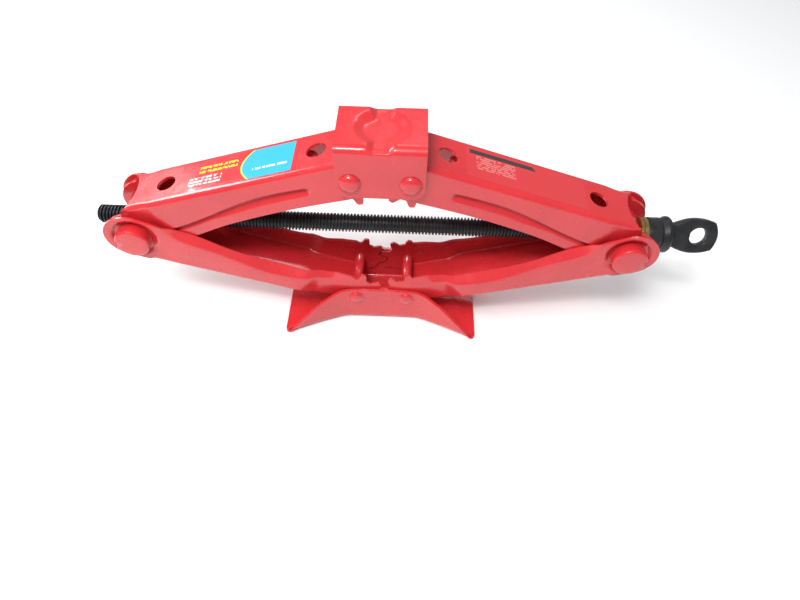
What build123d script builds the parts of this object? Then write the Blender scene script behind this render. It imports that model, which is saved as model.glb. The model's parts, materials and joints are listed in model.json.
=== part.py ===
from build123d import *
import math
import os

# Scissor jack, in millimetres. The drive eye points to +X, the front to -Y and up is +Z.
# The origin is the centre of the base plate's underside.

# --- Linkage ---
PIN_SPACING = 40.0          # between the two base pins, and the two saddle pins
ARM_LENGTH = 170.0          # trunnion centre to base or saddle pin
REST_ANGLE = 20.4           # arm above the horizontal, in degrees
BASE_PIN_Z = 27.0
SADDLE_RISE = 28.0          # saddle top above its pins
SADDLE_DROP = 12.0          # saddle's lower edge below its pins
RUN_FIT = 0.05              # radial clearance of a turning pin
SIDE_GAP = 0.4              # between flat faces that pass each other

# --- Pressed sheet ---
ARM_SHEET = 2.2
SADDLE_SHEET = 3.0
BASE_SHEET = 2.4
BEND_OUT = 3.2              # outer radius of the arms' bends

# --- Half widths, from the middle plane outwards ---
SCREW_BLOCK_Y = 16.5        # ends of the trunnion blocks
UPPER_LUG_Y = 19.1          # outside of the upper arms' lugs
UPPER_Y = 20.3              # outside of the upper arms
LOWER_NARROW_Y = 21.1       # outside of the lower arms between the base walls
LIP_Y = 23.0                # outside of the lower arms' leaning lips, at their edge
LOWER_Y = 24.5              # outside of the lower arms
SADDLE_Y = 24.2
BASE_Y = 23.8

# --- Arm outline, in the arm's plane: u from the trunnion to the pin, h towards the web ---
LUG_R = 19.0
UPPER_LUG_R = 18.2          # clears the lower arm's web when the jack is folded
LUG_SHIFT = -2.5            # lug centre, outside the trunnion centre
ARM_DEPTH = 60.0            # deeper than any arm, for cutting
WEB_END = ARM_LENGTH + 6.0
WEB_HOLE_R = 7.2
WEB_RISE = {1: 4.0, -1: 0.0}        # webs stand off further on the upper arms
WEB_CORNER_U = 6.0          # from here to the lug the flange falls to the lug's top
WEB_AT_PIN = 10.0
WEB_HOLES = (35.5, 150.0)
NOTCH_R, NOTCH_U = 31.0, 11.0       # concave end of the upper webs, and its deepest point
LOWER_NOTCH_R, LOWER_NOTCH_U = 56.0, 16.5   # the lower webs end further in, clear of the upper lugs
STEP_U = 128.0              # where the lower arms step in to fit the base
BEAD_START, BEAD_END, BEAD_H = 26.0, 137.0, -2.0
BEAD_R, BEAD_DEPTH = 4.0, 1.2
FREE_EDGE = ((45, -15.0), (70, -12.4), (100, -11.7), (130, -13.0))
LOWER_DEEPER = 1.4          # the lower arms' free edges lie this much further out
LUG_STEP_U = 22.0           # where the upper arms step in to their lugs
LIPS_U = 18.0               # where the lower arms' lips start
LIP_BEND, LIP_EDGE = 18.0, 30.0      # below the web: where the lips start to lean, and stop

# --- Gear ends: nine teeth to a full circle ---
TOOTH_PITCH = 40.0
PITCH_R = PIN_SPACING / 2
PRESSURE_ANGLE = 25.0
TIP_R = 22.6
ROOT_R = 16.8
BACKLASH = 0.35
TEETH_PER_TURN = 9
TOOTH_SUNK = 3.0            # how far a tooth's foot reaches below the root circle
TOOTH_TIP_R = 1.3
FIRST_TOOTH = {-1: 13.7, 1: -6.3}   # degrees from the arm's line, left and right arms
TOOTH_COUNT = {-1: 3, 1: 4}

# --- Pins and trunnions ---
BASE_PIN_R, BASE_HEAD_R, BASE_HEAD = 4.0, 5.6, 1.8
SADDLE_PIN_R, SADDLE_HEAD_R, SADDLE_HEAD = 5.0, 7.2, 3.6
JOURNAL_R = 8.9
BLOCK_R = 13.0
TRUNNION_HEAD_R = 12.4
TRUNNION_FRONT_Y = 31.0
HEAD_GAP = 0.2              # between a trunnion's head and the lug behind it
HEAD_CHAMFER = 0.8
DISH_R = 15.4               # round recess in the lower lugs, around the heads
DISH_BOSS_R = 17.4

# --- Screw and drive end: x is counted from the bearing trunnion's centre ---
SCREW_R = 6.9
SCREW_JOURNAL_R = 6.0
SCREW_TIP_X = -212.0
SCREW_TIP_CHAMFER = 1.5
FACE_X = 10.6               # flat thrust face of the bearing trunnion
WASHER_R = 12.2
WASHER = 1.6
RING_CHAMFER = 0.3
CAGE_GAP = 2.2
BALL_R = 1.05               # a little less than half the gap
BALLS = 10
BALL_CIRCLE_R = 9.3
COLLAR_R = 12.5
COLLAR_END_X = 26.4
EYE_RIM_R = 13.7
EYE_RIM_END_X = 33.7
EYE_RIM_CHAMFER = 1.5
EYE_NECK = ((3, 8.5), (9, 4.0))     # beyond the rim: place and radius
EYE_EDGE = ((5, 8.6), (14, 12.2))   # beyond the rim: place and half width of the plate
EYE_START_HALF = 8.0
EYE_TIP_HALF = 10.4
EYE_TIP_DEPTH = 3.6
EYE_HOLE_X = 56.2
EYE_TIP_X = 70.4
EYE_HALF = 13.0             # half the eye plate's greatest width
EYE_THICK = 7.0
EYE_HOLE_R = 6.5
EYE_TILT = 28.0             # the eye plate leans back from the vertical
SOCKET_END_X = 31.0         # the screw's end is swaged into the eye up to here
SHOULDER_GAP = 0.2          # between the screw's shoulder and the first thrust washer

# --- Saddle ---
SADDLE_X = 59.0
SADDLE_CORNER = 9.3         # round lower corners
SADDLE_BEND = 4.0
DISH_TOP_R, DISH_FLOOR_R, DISH_DEPTH = 18.0, 11.2, 3.5
DISH_WALL = 1.6             # how much wider the seat is on the inside
SLOT_TOP, SLOT_FLOOR = 8.5, 4.7

# --- Base ---
WAIST_X, CORNER_X, CORNER_Y = 29.5, 77.0, 43.0
WALL_Z = 35.3
WALL_FLAT_X = 34.0
TIP_X, TIP_Z = 75.6, 3.0
OPEN_END = 9.6              # how far in from its open ends the tray is cut to its full width
OPEN_END_INSET = 6.0

# --- Labels ---
LABEL_SHEET = 0.15
LABELS = {-1: (62.0, 136.0), 1: (62.0, 138.0)}
LABEL_HALF = 14.0
LABEL_CORNER = 2.0

# --- Derived places ---
COS, SIN = math.cos(math.radians(REST_ANGLE)), math.sin(math.radians(REST_ANGLE))
TRUNNION_X = PIN_SPACING / 2 + ARM_LENGTH * COS
TRUNNION_Z = BASE_PIN_Z + ARM_LENGTH * SIN
SADDLE_PIN_Z = BASE_PIN_Z + 2 * ARM_LENGTH * SIN
SADDLE_TOP_Z = SADDLE_PIN_Z + SADDLE_RISE
WEB_SLOPE = math.asin((LUG_R - WEB_AT_PIN) / ARM_LENGTH)    # the web comes closer to the pins inwards
UPPER, LOWER = 1, -1
LEFT, RIGHT = -1, 1

os.makedirs("parts", exist_ok=True)


def save(shape, label):
    """Label a finished piece and write it."""
    shape.label = label
    export_step(shape, f"parts/{label}.step")


def web_h(u, level):
    """Height of the web's outer face over the line from trunnion to pin."""
    return LUG_R / math.cos(WEB_SLOPE) + (LUG_SHIFT - u) * math.tan(WEB_SLOPE) + WEB_RISE[level]


def arm_vectors(side, level):
    """Directions along an arm, from its trunnion, and out through its web."""
    return Vector(-side * COS, 0, level * SIN), Vector(side * SIN, 0, level * COS)


def arm_plane(side, level):
    """Side plane of an arm: x along it, y out through its web, origin at the trunnion."""
    along, outward = arm_vectors(side, level)
    return Plane(origin=(side * TRUNNION_X, 0, TRUNNION_Z), x_dir=along, z_dir=along.cross(outward))


def web_plane(side, level, u):
    """Cross-section plane at u: y out through the web, z along the web, origin on its outer face."""
    side_plane = arm_plane(side, level)
    origin = side_plane.from_local_coords(Vector(u, web_h(u, level), 0))
    along, outward = arm_vectors(side, level)
    along = along * math.cos(WEB_SLOPE) - outward * math.sin(WEB_SLOPE)
    normal = along.cross(side_plane.z_dir) * -1
    return Plane(origin=origin, x_dir=normal.cross(along), z_dir=along)


def involute(radius):
    """Angle, in degrees, by which an involute flank has turned at a radius."""
    base = PITCH_R * math.cos(math.radians(PRESSURE_ANGLE))
    slope = math.acos(min(1.0, base / radius))
    return math.degrees(math.tan(slope) - slope)


def tooth_sketch(angle):
    """One stub tooth of the gear end, with involute flanks and a rounded tip."""
    half = 90 / TEETH_PER_TURN - math.degrees(BACKLASH / 2 / PITCH_R)
    base = PITCH_R * math.cos(math.radians(PRESSURE_ANGLE))
    radii = [base, (base + TIP_R) / 2, TIP_R]
    turns = [half + involute(PITCH_R) - involute(radius) for radius in radii]
    polar = [(ROOT_R - TOOTH_SUNK, turns[0])] + list(zip(radii, turns))
    upper = [(r * math.cos(math.radians(a)), r * math.sin(math.radians(a))) for r, a in polar]
    lower = [(x, -y) for x, y in reversed(upper)]
    with BuildSketch(Plane.XY) as tooth:
        with BuildLine():
            Polyline(upper[0], upper[1])
            Spline(upper[1:])
            RadiusArc(upper[-1], lower[0], -TIP_R)
            Spline(lower[:-1])
            Polyline(lower[-2], lower[-1])
            Line(lower[-1], upper[0])
        make_face()
        tips = tooth.vertices().group_by(Axis.X)[-1]
        fillet(tips, TOOTH_TIP_R)
    return tooth.sketch.rotate(Axis.Z, -angle).moved(Location((ARM_LENGTH, 0)))


def outline_sketch(plane, side, level, lug_r, pin_r):
    """Side outline of an arm: lug, shallow curved free edge, gear end, two pin holes."""
    deeper = LOWER_DEEPER if level == LOWER else 0.0
    edge = [(u, h - deeper) for u, h in FREE_EDGE]
    lug_top = (LUG_SHIFT + 3, lug_r - 0.2)
    web_corner = (WEB_CORNER_U, web_h(WEB_CORNER_U, level))
    web_end = (ARM_LENGTH + 12, web_h(ARM_LENGTH + 12, level))
    far = ARM_LENGTH + ARM_DEPTH
    with BuildSketch(plane) as outline:
        with BuildLine():
            curve = Spline((LUG_SHIFT + 3, -lug_r + 0.2), *edge, (ARM_LENGTH - 8, -16))
            Line(curve @ 1, (ARM_LENGTH, -8))
            Line((ARM_LENGTH, -8), (ARM_LENGTH + 12, 0))
            Polyline((ARM_LENGTH + 12, 0), web_end, web_corner, lug_top, curve @ 0)
        make_face()
        with Locations((LUG_SHIFT, 0)):
            Circle(lug_r)
        with Locations((ARM_LENGTH, 0)):
            Circle(ROOT_R)
        for number in range(TOOTH_COUNT[side]):
            add(tooth_sketch(FIRST_TOOTH[side] + number * TOOTH_PITCH))
        with BuildLine():
            Polyline(
                (-2 * LUG_R, web_h(-2 * LUG_R, level)), (-2 * LUG_R, ARM_DEPTH), (far, ARM_DEPTH),
                (far, web_h(far, level)), close=True,
            )
        make_face(mode=Mode.SUBTRACT)
        Circle(JOURNAL_R + RUN_FIT, mode=Mode.SUBTRACT)
        with Locations((ARM_LENGTH, 0)):
            Circle(pin_r + RUN_FIT, mode=Mode.SUBTRACT)
    return outline.sketch


def channel_outline(half, top, lean, bottom):
    """Corners of a channel's outer or inner outline, its lips leaning inwards below a bend."""
    edge = half - lean
    return [
        (-half, top), (half, top), (half, -LIP_BEND), (edge, -LIP_EDGE), (edge, bottom),
        (-edge, bottom), (-edge, -LIP_EDGE), (-half, -LIP_BEND),
    ]


def channel(plane, half, inner, length, lean=0.0):
    """Channel section with rounded bends, swept along the arm; its lips may lean inwards."""
    with BuildSketch(Plane.XY) as hollow:
        with BuildLine():
            Polyline(*channel_outline(inner, -ARM_SHEET, lean, -ARM_DEPTH - 1), close=True)
        make_face()
        fillet(hollow.vertices().group_by(Axis.Y)[-1], BEND_OUT - ARM_SHEET)
    with BuildSketch(plane) as section:
        with BuildLine():
            Polyline(*channel_outline(half, 0, lean, -ARM_DEPTH), close=True)
        make_face()
        fillet(section.vertices().group_by(Axis.Y)[-1], BEND_OUT)
        add(hollow.sketch_local, mode=Mode.SUBTRACT)
    extrude(section.sketch, amount=length)


def side_plates(side_plane, start, end, inner, outer):
    """The two flanges of an arm, flat, between two places along it."""
    for sign in (-1, 1):
        with BuildSketch(side_plane.offset(sign * inner)) as flange:
            with Locations(((start + end) / 2, 0)):
                Rectangle(end - start, ARM_DEPTH)
        extrude(flange.sketch, amount=sign * (outer - inner))


def web_holes(side, level):
    """Two round holes through the web."""
    for u in WEB_HOLES:
        plane = web_plane(side, level, u)
        with BuildSketch(Plane(origin=plane.origin, x_dir=plane.x_dir, z_dir=plane.y_dir)) as hole:
            Circle(WEB_HOLE_R)
        extrude(hole.sketch, amount=ARM_SHEET * 2, both=True, mode=Mode.SUBTRACT)


def web_notch(side, level, inner, radius, deepest):
    """Concave end of the web at the trunnion, between the flanges."""
    plane = web_plane(side, level, deepest - radius)
    with BuildSketch(Plane(origin=plane.origin, x_dir=plane.x_dir, z_dir=plane.y_dir)) as notch:
        Circle(radius)
        Rectangle(2 * inner, 3 * radius, mode=Mode.INTERSECT)
    extrude(notch.sketch, amount=ARM_SHEET * 2, both=True, mode=Mode.SUBTRACT)


def bead_pair(side_plane, inner, outer, radius, mode):
    """Long round-ended bead on both flanges, cut into or raised on them."""
    for sign in (-1, 1):
        with BuildSketch(side_plane.offset(sign * inner)) as bead:
            with Locations(((BEAD_START + BEAD_END) / 2, BEAD_H)):
                SlotOverall(BEAD_END - BEAD_START + 2 * radius, 2 * radius)
        extrude(bead.sketch, amount=sign * (outer - inner), mode=mode)


def lug_dish(side_plane, dish_y):
    """Round recess pressed into both lugs of a lower arm, which brings them against the upper arm's."""
    for sign in (-1, 1):
        with BuildSketch(side_plane.offset(sign * dish_y)) as boss:
            Circle(DISH_BOSS_R)
        extrude(boss.sketch, amount=sign * (LOWER_Y - dish_y))
        with BuildSketch(side_plane.offset(sign * (dish_y + ARM_SHEET))) as recess:
            Circle(DISH_R)
        extrude(recess.sketch, amount=sign * LOWER_Y, mode=Mode.SUBTRACT)


def upper_arm(side, label):
    """Upper arm: channel open downwards, stepped in at its lugs, geared at the saddle."""
    side_plane = arm_plane(side, UPPER)
    lug_in = UPPER_LUG_Y - ARM_SHEET
    main_in = UPPER_Y - ARM_SHEET
    with BuildPart() as arm:
        channel(web_plane(side, UPPER, 5), UPPER_LUG_Y, lug_in, LUG_STEP_U - 5 + ARM_SHEET)
        channel(web_plane(side, UPPER, LUG_STEP_U), UPPER_Y, main_in, WEB_END - LUG_STEP_U)
        side_plates(side_plane, LUG_SHIFT - LUG_R, 6, lug_in, UPPER_LUG_Y)
        side_plates(side_plane, WEB_END - 1, ARM_LENGTH + TIP_R, main_in, UPPER_Y)
        bead_pair(side_plane, main_in - BEAD_DEPTH, main_in, BEAD_R, Mode.ADD)
        bead_pair(side_plane, UPPER_Y - BEAD_DEPTH, UPPER_Y, BEAD_R - 0.5, Mode.SUBTRACT)
        outline = outline_sketch(side_plane, side, UPPER, UPPER_LUG_R, SADDLE_PIN_R)
        extrude(outline, amount=ARM_DEPTH, both=True, mode=Mode.INTERSECT)
        web_holes(side, UPPER)
        web_notch(side, UPPER, lug_in, NOTCH_R, NOTCH_U)
    save(arm.part, label)


def lower_arm(side, label):
    """Lower arm: wider channel open upwards, dished lugs outside the upper arm's, leaning lips."""
    side_plane = arm_plane(side, LOWER)
    lug_in = LOWER_Y - ARM_SHEET
    narrow_in = LOWER_NARROW_Y - ARM_SHEET
    dish_y = UPPER_LUG_Y + SIDE_GAP
    with BuildPart() as arm:
        channel(web_plane(side, LOWER, 5), LOWER_Y, lug_in, LIPS_U - 5 + 1)
        channel(web_plane(side, LOWER, LIPS_U), LOWER_Y, lug_in, STEP_U - LIPS_U + 1, LOWER_Y - LIP_Y)
        channel(web_plane(side, LOWER, STEP_U), LOWER_Y, narrow_in, ARM_SHEET)
        channel(web_plane(side, LOWER, STEP_U), LOWER_NARROW_Y, narrow_in, WEB_END - STEP_U)
        side_plates(side_plane, LUG_SHIFT - LUG_R, 6, lug_in, LOWER_Y)
        side_plates(side_plane, WEB_END - 1, ARM_LENGTH + TIP_R, narrow_in, LOWER_NARROW_Y)
        lug_dish(side_plane, dish_y)
        outline = outline_sketch(side_plane, side, LOWER, LUG_R, BASE_PIN_R)
        extrude(outline, amount=ARM_DEPTH, both=True, mode=Mode.INTERSECT)
        web_notch(side, LOWER, lug_in, LOWER_NOTCH_R, LOWER_NOTCH_U)
    save(arm.part, label)


def saddle():
    """Saddle: folded plate on the upper pins, its top pressed into a round seat with a cross slot."""
    height = SADDLE_RISE + SADDLE_DROP
    top = Plane.XY.offset(SADDLE_TOP_Z)
    inner = SADDLE_Y - SADDLE_SHEET
    with BuildPart() as plate:
        with BuildSketch(Plane.YZ.offset(-SADDLE_X / 2)) as fold:
            with Locations((0, SADDLE_TOP_Z - height / 2)):
                Rectangle(2 * SADDLE_Y, height)
            fillet(fold.vertices().group_by(Axis.Y)[-1], SADDLE_BEND)
        extrude(amount=SADDLE_X)
        with BuildSketch(Plane.YZ.offset(-SADDLE_X / 2)) as hollow:
            with Locations((0, SADDLE_TOP_Z - SADDLE_SHEET - height / 2)):
                Rectangle(2 * inner, height)
            fillet(hollow.vertices().group_by(Axis.Y)[-1], SADDLE_BEND - SADDLE_SHEET)
        extrude(amount=SADDLE_X, mode=Mode.SUBTRACT)
        with BuildSketch(Plane.XZ) as side:
            with Locations((0, SADDLE_TOP_Z - height / 2)):
                Rectangle(SADDLE_X, height)
            fillet(side.vertices().group_by(Axis.Y)[0], SADDLE_CORNER)
        extrude(amount=ARM_DEPTH, both=True, mode=Mode.INTERSECT)
        seat_section(top.offset(-SADDLE_SHEET), DISH_WALL, Mode.ADD)
        seat_section(top, 0.0, Mode.SUBTRACT)
        for x in (-PIN_SPACING / 2, PIN_SPACING / 2):
            with BuildSketch(Plane.XZ):
                with Locations((x, SADDLE_PIN_Z)):
                    Circle(SADDLE_PIN_R)
            extrude(amount=ARM_DEPTH, both=True, mode=Mode.SUBTRACT)
    save(plate.part, "saddle")


def seat_section(plane, wall, mode):
    """Round seat and the slot across it, pressed down from a plane."""
    slot_end = SADDLE_Y if mode == Mode.SUBTRACT else SADDLE_Y - SADDLE_SHEET
    z = plane.origin.Z
    with BuildSketch(plane) as rim:
        Circle(DISH_TOP_R + wall)
    with BuildSketch(plane.offset(-DISH_DEPTH)) as floor:
        Circle(DISH_FLOOR_R + wall)
    loft([rim.sketch, floor.sketch], mode=mode)
    with BuildSketch(Plane.XZ.offset(-slot_end)) as slot:
        with BuildLine():
            Polyline(
                (-SLOT_TOP - wall, z), (-SLOT_FLOOR - wall, z - DISH_DEPTH),
                (SLOT_FLOOR + wall, z - DISH_DEPTH), (SLOT_TOP + wall, z), close=True,
            )
        make_face()
    extrude(slot.sketch, amount=2 * slot_end, mode=mode)


def base():
    """Base: bow-tie floor plate with its long sides folded up and spread at the corners."""
    corners = [(-CORNER_X, -CORNER_Y), (-WAIST_X, -BASE_Y), (WAIST_X, -BASE_Y), (CORNER_X, -CORNER_Y)]
    mirrored = [(x, -y) for x, y in reversed(corners)]
    with BuildPart() as plate:
        with BuildSketch():
            with BuildLine():
                Polyline(*corners, *mirrored, close=True)
            make_face()
        extrude(amount=WALL_Z)
        with BuildSketch(Plane.XY.offset(BASE_SHEET)) as inside:
            with BuildLine():
                Polyline(*corners, *mirrored, close=True)
            make_face()
            offset(amount=-BASE_SHEET, kind=Kind.INTERSECTION)
            Rectangle(3 * CORNER_X, 2 * (BASE_Y - BASE_SHEET))
            with Locations((-CORNER_X, 0), (CORNER_X, 0)):
                Rectangle(2 * OPEN_END, 2 * (CORNER_Y - OPEN_END_INSET))
        extrude(amount=WALL_Z, mode=Mode.SUBTRACT)
        with BuildSketch(Plane.XZ):
            with BuildLine():
                Polyline(
                    (-CORNER_X, 0), (-CORNER_X, TIP_Z), (-TIP_X, TIP_Z), (-WALL_FLAT_X, WALL_Z),
                    (WALL_FLAT_X, WALL_Z), (TIP_X, TIP_Z), (CORNER_X, TIP_Z), (CORNER_X, 0), close=True,
                )
            make_face()
        extrude(amount=ARM_DEPTH, both=True, mode=Mode.INTERSECT)
        for x in (-PIN_SPACING / 2, PIN_SPACING / 2):
            with BuildSketch(Plane.XZ):
                with Locations((x, BASE_PIN_Z)):
                    Circle(BASE_PIN_R)
            extrude(amount=ARM_DEPTH, both=True, mode=Mode.SUBTRACT)
    save(plate.part, "base_plate")


def riveted_pin(x, z, radius, head_r, head, half, label):
    """Pin across the jack with a domed head riveted on each end."""
    with BuildPart() as pin:
        with BuildSketch(Plane.XZ):
            with Locations((x, z)):
                Circle(radius)
        extrude(amount=half, both=True)
        for sign in (-1, 1):
            with BuildSketch(Plane.XZ.offset(sign * half)):
                with Locations((x, z)):
                    Circle(head_r)
            extrude(amount=sign * head)
        rims = pin.edges().filter_by(GeomType.CIRCLE).group_by(Axis.Y)
        fillet(rims[0] + rims[-1], head * 0.9)
    save(pin.part, label)


def trunnion(side, bore_r, label):
    """Cross block on two journals, which are riveted over into round heads outside the lugs."""
    x = side * TRUNNION_X
    head_back = UPPER_LUG_Y + SIDE_GAP + ARM_SHEET + HEAD_GAP
    with BuildPart() as block:
        for radius, start, end in (
            (BLOCK_R, 0, SCREW_BLOCK_Y),
            (JOURNAL_R, SCREW_BLOCK_Y, head_back),
            (TRUNNION_HEAD_R, head_back, TRUNNION_FRONT_Y),
        ):
            for sign in (-1, 1):
                with BuildSketch(Plane.XZ.offset(sign * start)):
                    with Locations((x, TRUNNION_Z)):
                        Circle(radius)
                extrude(amount=sign * (end - start))
        rims = block.edges().filter_by(GeomType.CIRCLE).group_by(Axis.Y)
        chamfer(rims[0] + rims[-1], HEAD_CHAMFER)
        with BuildSketch(Plane.YZ.offset(x + side * FACE_X)):
            with Locations((0, TRUNNION_Z)):
                Rectangle(2 * SCREW_BLOCK_Y + 1, 2 * BLOCK_R + 1)
        extrude(amount=side * BLOCK_R, mode=Mode.SUBTRACT)
        with BuildSketch(Plane.YZ.offset(x)):
            with Locations((0, TRUNNION_Z)):
                Circle(bore_r)
        extrude(amount=2 * BLOCK_R, both=True, mode=Mode.SUBTRACT)
    save(block.part, label)


def ring(start, end, outer, inner, label):
    """Plain ring on the screw, between two places counted from the bearing trunnion."""
    with BuildPart() as washer:
        with BuildSketch(Plane.YZ.offset(TRUNNION_X + start)):
            with Locations((0, TRUNNION_Z)):
                Circle(outer)
                Circle(inner, mode=Mode.SUBTRACT)
        extrude(amount=end - start)
        chamfer(washer.edges().filter_by(GeomType.CIRCLE).sort_by(SortBy.RADIUS)[-2:], RING_CHAMFER)
    save(washer.part, label)


def lead_screw():
    """Screw as a plain bar at its thread's outer diameter, with a thinner end inside the eye."""
    with BuildPart() as screw:
        with BuildSketch(Plane.YZ.offset(SCREW_TIP_X)):
            with Locations((0, TRUNNION_Z)):
                Circle(SCREW_R)
        extrude(amount=TRUNNION_X + FACE_X - SHOULDER_GAP - SCREW_TIP_X)
        chamfer(screw.edges().group_by(Axis.X)[0], SCREW_TIP_CHAMFER)
        with BuildSketch(Plane.YZ.offset(TRUNNION_X + FACE_X - SHOULDER_GAP)):
            with Locations((0, TRUNNION_Z)):
                Circle(SCREW_JOURNAL_R)
        extrude(amount=SOCKET_END_X - FACE_X + SHOULDER_GAP)
    save(screw.part, "lead_screw")


def thrust_balls():
    """Ring of separate balls between the two thrust washers."""
    x = TRUNNION_X + FACE_X + WASHER + CAGE_GAP / 2
    with BuildPart() as balls:
        with Locations(Plane(origin=(x, 0, TRUNNION_Z), x_dir=(0, 1, 0), z_dir=(1, 0, 0))):
            with PolarLocations(BALL_CIRCLE_R, BALLS):
                Sphere(BALL_R)
    save(balls.part, "thrust_balls")


def drive_eye():
    """Forged end: a rim behind the collar, a neck, and a flat eye for the wrench or hook."""
    axis_plane = Plane(origin=(TRUNNION_X, 0, TRUNNION_Z), x_dir=(1, 0, 0), z_dir=(0, -1, 0))
    plate_plane = axis_plane.rotated((-EYE_TILT, 0, 0))
    neck = [(EYE_RIM_END_X + x, radius) for x, radius in EYE_NECK]
    upper = [(EYE_RIM_END_X - 2, EYE_START_HALF)]
    upper += [(EYE_RIM_END_X + x, half) for x, half in EYE_EDGE]
    upper += [(EYE_HOLE_X, EYE_HALF), (EYE_TIP_X - EYE_TIP_DEPTH, EYE_TIP_HALF)]
    lower = [(x, -half) for x, half in upper]
    with BuildPart() as eye:
        with BuildSketch(axis_plane):
            with BuildLine():
                Polyline(
                    (COLLAR_END_X, 0), (COLLAR_END_X, EYE_RIM_R - EYE_RIM_CHAMFER),
                    (COLLAR_END_X + EYE_RIM_CHAMFER, EYE_RIM_R), (EYE_RIM_END_X - EYE_RIM_CHAMFER, EYE_RIM_R),
                    (EYE_RIM_END_X, EYE_RIM_R - EYE_RIM_CHAMFER), *neck, (neck[-1][0], 0), close=True,
                )
            make_face()
        revolve(axis=Axis((TRUNNION_X, 0, TRUNNION_Z), (1, 0, 0)))
        with BuildSketch(plate_plane) as plate:
            with BuildLine():
                Spline(upper)
                ThreePointArc(upper[-1], (EYE_TIP_X, 0), lower[-1])
                Spline(lower)
                Line(lower[0], upper[0])
            make_face()
            with Locations((EYE_HOLE_X, 0)):
                Circle(EYE_HOLE_R, mode=Mode.SUBTRACT)
        extrude(amount=EYE_THICK / 2, both=True)
        with BuildSketch(Plane.YZ.offset(TRUNNION_X + COLLAR_END_X)):
            with Locations((0, TRUNNION_Z)):
                Circle(SCREW_JOURNAL_R)
        extrude(amount=SOCKET_END_X - COLLAR_END_X, mode=Mode.SUBTRACT)
    save(eye.part, "drive_eye")


def web_label(side, label):
    """Thin printed film lying on the web of an upper arm."""
    start, end = LABELS[side]
    plane = web_plane(side, UPPER, (start + end) / 2)
    with BuildPart() as film:
        with BuildSketch(Plane(origin=plane.origin, x_dir=plane.x_dir, z_dir=plane.y_dir)) as sheet:
            Rectangle(2 * LABEL_HALF, end - start)
            fillet(sheet.vertices(), LABEL_CORNER)
        extrude(amount=LABEL_SHEET)
    save(film.part, label)


base()
saddle()
for side, name in ((LEFT, "left"), (RIGHT, "right")):
    pin_x = side * PIN_SPACING / 2
    riveted_pin(pin_x, BASE_PIN_Z, BASE_PIN_R, BASE_HEAD_R, BASE_HEAD, BASE_Y, f"base_pin_{name}")
    riveted_pin(
        pin_x, SADDLE_PIN_Z, SADDLE_PIN_R, SADDLE_HEAD_R, SADDLE_HEAD, SADDLE_Y, f"saddle_pin_{name}"
    )
    lower_arm(side, f"lower_arm_{name}")
    upper_arm(side, f"upper_arm_{name}")
    web_label(side, f"web_label_{name}")
trunnion(LEFT, SCREW_R + RUN_FIT, "nut_trunnion")
trunnion(RIGHT, SCREW_R + RUN_FIT, "bearing_trunnion")
lead_screw()
cage_start = FACE_X + WASHER
cage_end = cage_start + CAGE_GAP
ring(FACE_X, cage_start, WASHER_R, SCREW_JOURNAL_R + RUN_FIT, "thrust_washer_inner")
ring(cage_end, cage_end + WASHER, WASHER_R, SCREW_JOURNAL_R, "thrust_washer_outer")
thrust_balls()
ring(cage_end + WASHER, COLLAR_END_X, COLLAR_R, SCREW_JOURNAL_R, "thrust_collar")
drive_eye()
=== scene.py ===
# %% [markdown]
# # A scissor jack in red enamel
# The jack arrives as plain solids that already have the right sizes, places and joints. This
# script gives it the shapes and finishes that make it look real: pressed and enamelled steel
# sheet, domed rivets, a cut thread and a forged eye. Each step says what the piece is, how it
# could be made, and why it is made this way here.

# %% Load the frame
import json
import math

import bmesh
import bpy
import numpy as np
from mathutils import Matrix, Vector


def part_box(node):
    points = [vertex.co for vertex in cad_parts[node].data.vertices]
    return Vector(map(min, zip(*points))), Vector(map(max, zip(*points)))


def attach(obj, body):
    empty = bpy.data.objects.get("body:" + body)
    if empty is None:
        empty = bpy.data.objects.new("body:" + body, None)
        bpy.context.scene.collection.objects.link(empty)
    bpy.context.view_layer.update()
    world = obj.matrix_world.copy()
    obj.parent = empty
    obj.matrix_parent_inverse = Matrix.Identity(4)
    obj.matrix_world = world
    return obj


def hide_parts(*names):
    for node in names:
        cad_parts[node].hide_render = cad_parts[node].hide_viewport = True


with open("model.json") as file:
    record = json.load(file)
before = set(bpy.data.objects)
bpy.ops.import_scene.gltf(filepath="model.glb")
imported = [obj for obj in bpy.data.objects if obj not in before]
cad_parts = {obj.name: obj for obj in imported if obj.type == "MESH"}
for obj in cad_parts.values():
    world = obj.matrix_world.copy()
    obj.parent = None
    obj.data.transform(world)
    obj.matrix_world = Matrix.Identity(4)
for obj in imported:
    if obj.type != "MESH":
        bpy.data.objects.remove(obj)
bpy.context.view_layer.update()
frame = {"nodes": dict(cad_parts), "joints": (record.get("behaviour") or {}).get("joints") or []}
print("nodes in the frame:", len(frame["nodes"]))

# %% [markdown]
# Every size below is in millimetres, the unit that a sheet metal drawing uses. Blender works in
# metres, so one number, `MM`, turns the first into the second when a mesh is made.
# The places of the pins and trunnions are read from the joints, and the thicknesses of the
# stack across the jack from the boxes of the solids, so nothing here has to be fitted by eye.

# %% Places and sizes taken from the frame
MM = 0.001
LEFT, RIGHT = -1, 1
UPPER, LOWER = 1, -1
SIDES = {LEFT: "left", RIGHT: "right"}
pivots = {joint["name"]: np.array(joint["pos_m"]) / MM for joint in frame["joints"]}
base_pin = pivots["jack_fold"]
left_trunnion = pivots["upper_left_fold"]
saddle_pin = pivots["saddle_level"]
bearing = pivots["screw_turn"]
ALONG = np.array((1.0, 0.0, 0.0))
FRONT = np.array((0.0, -1.0, 0.0))
SCREW_CENTRE = np.array((0.0, 0.0, bearing[2]))


def node_box(name):
    """Lowest and highest corners of a solid, in millimetres."""
    low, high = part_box(name)
    return np.array(low) / MM, np.array(high) / MM


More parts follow.
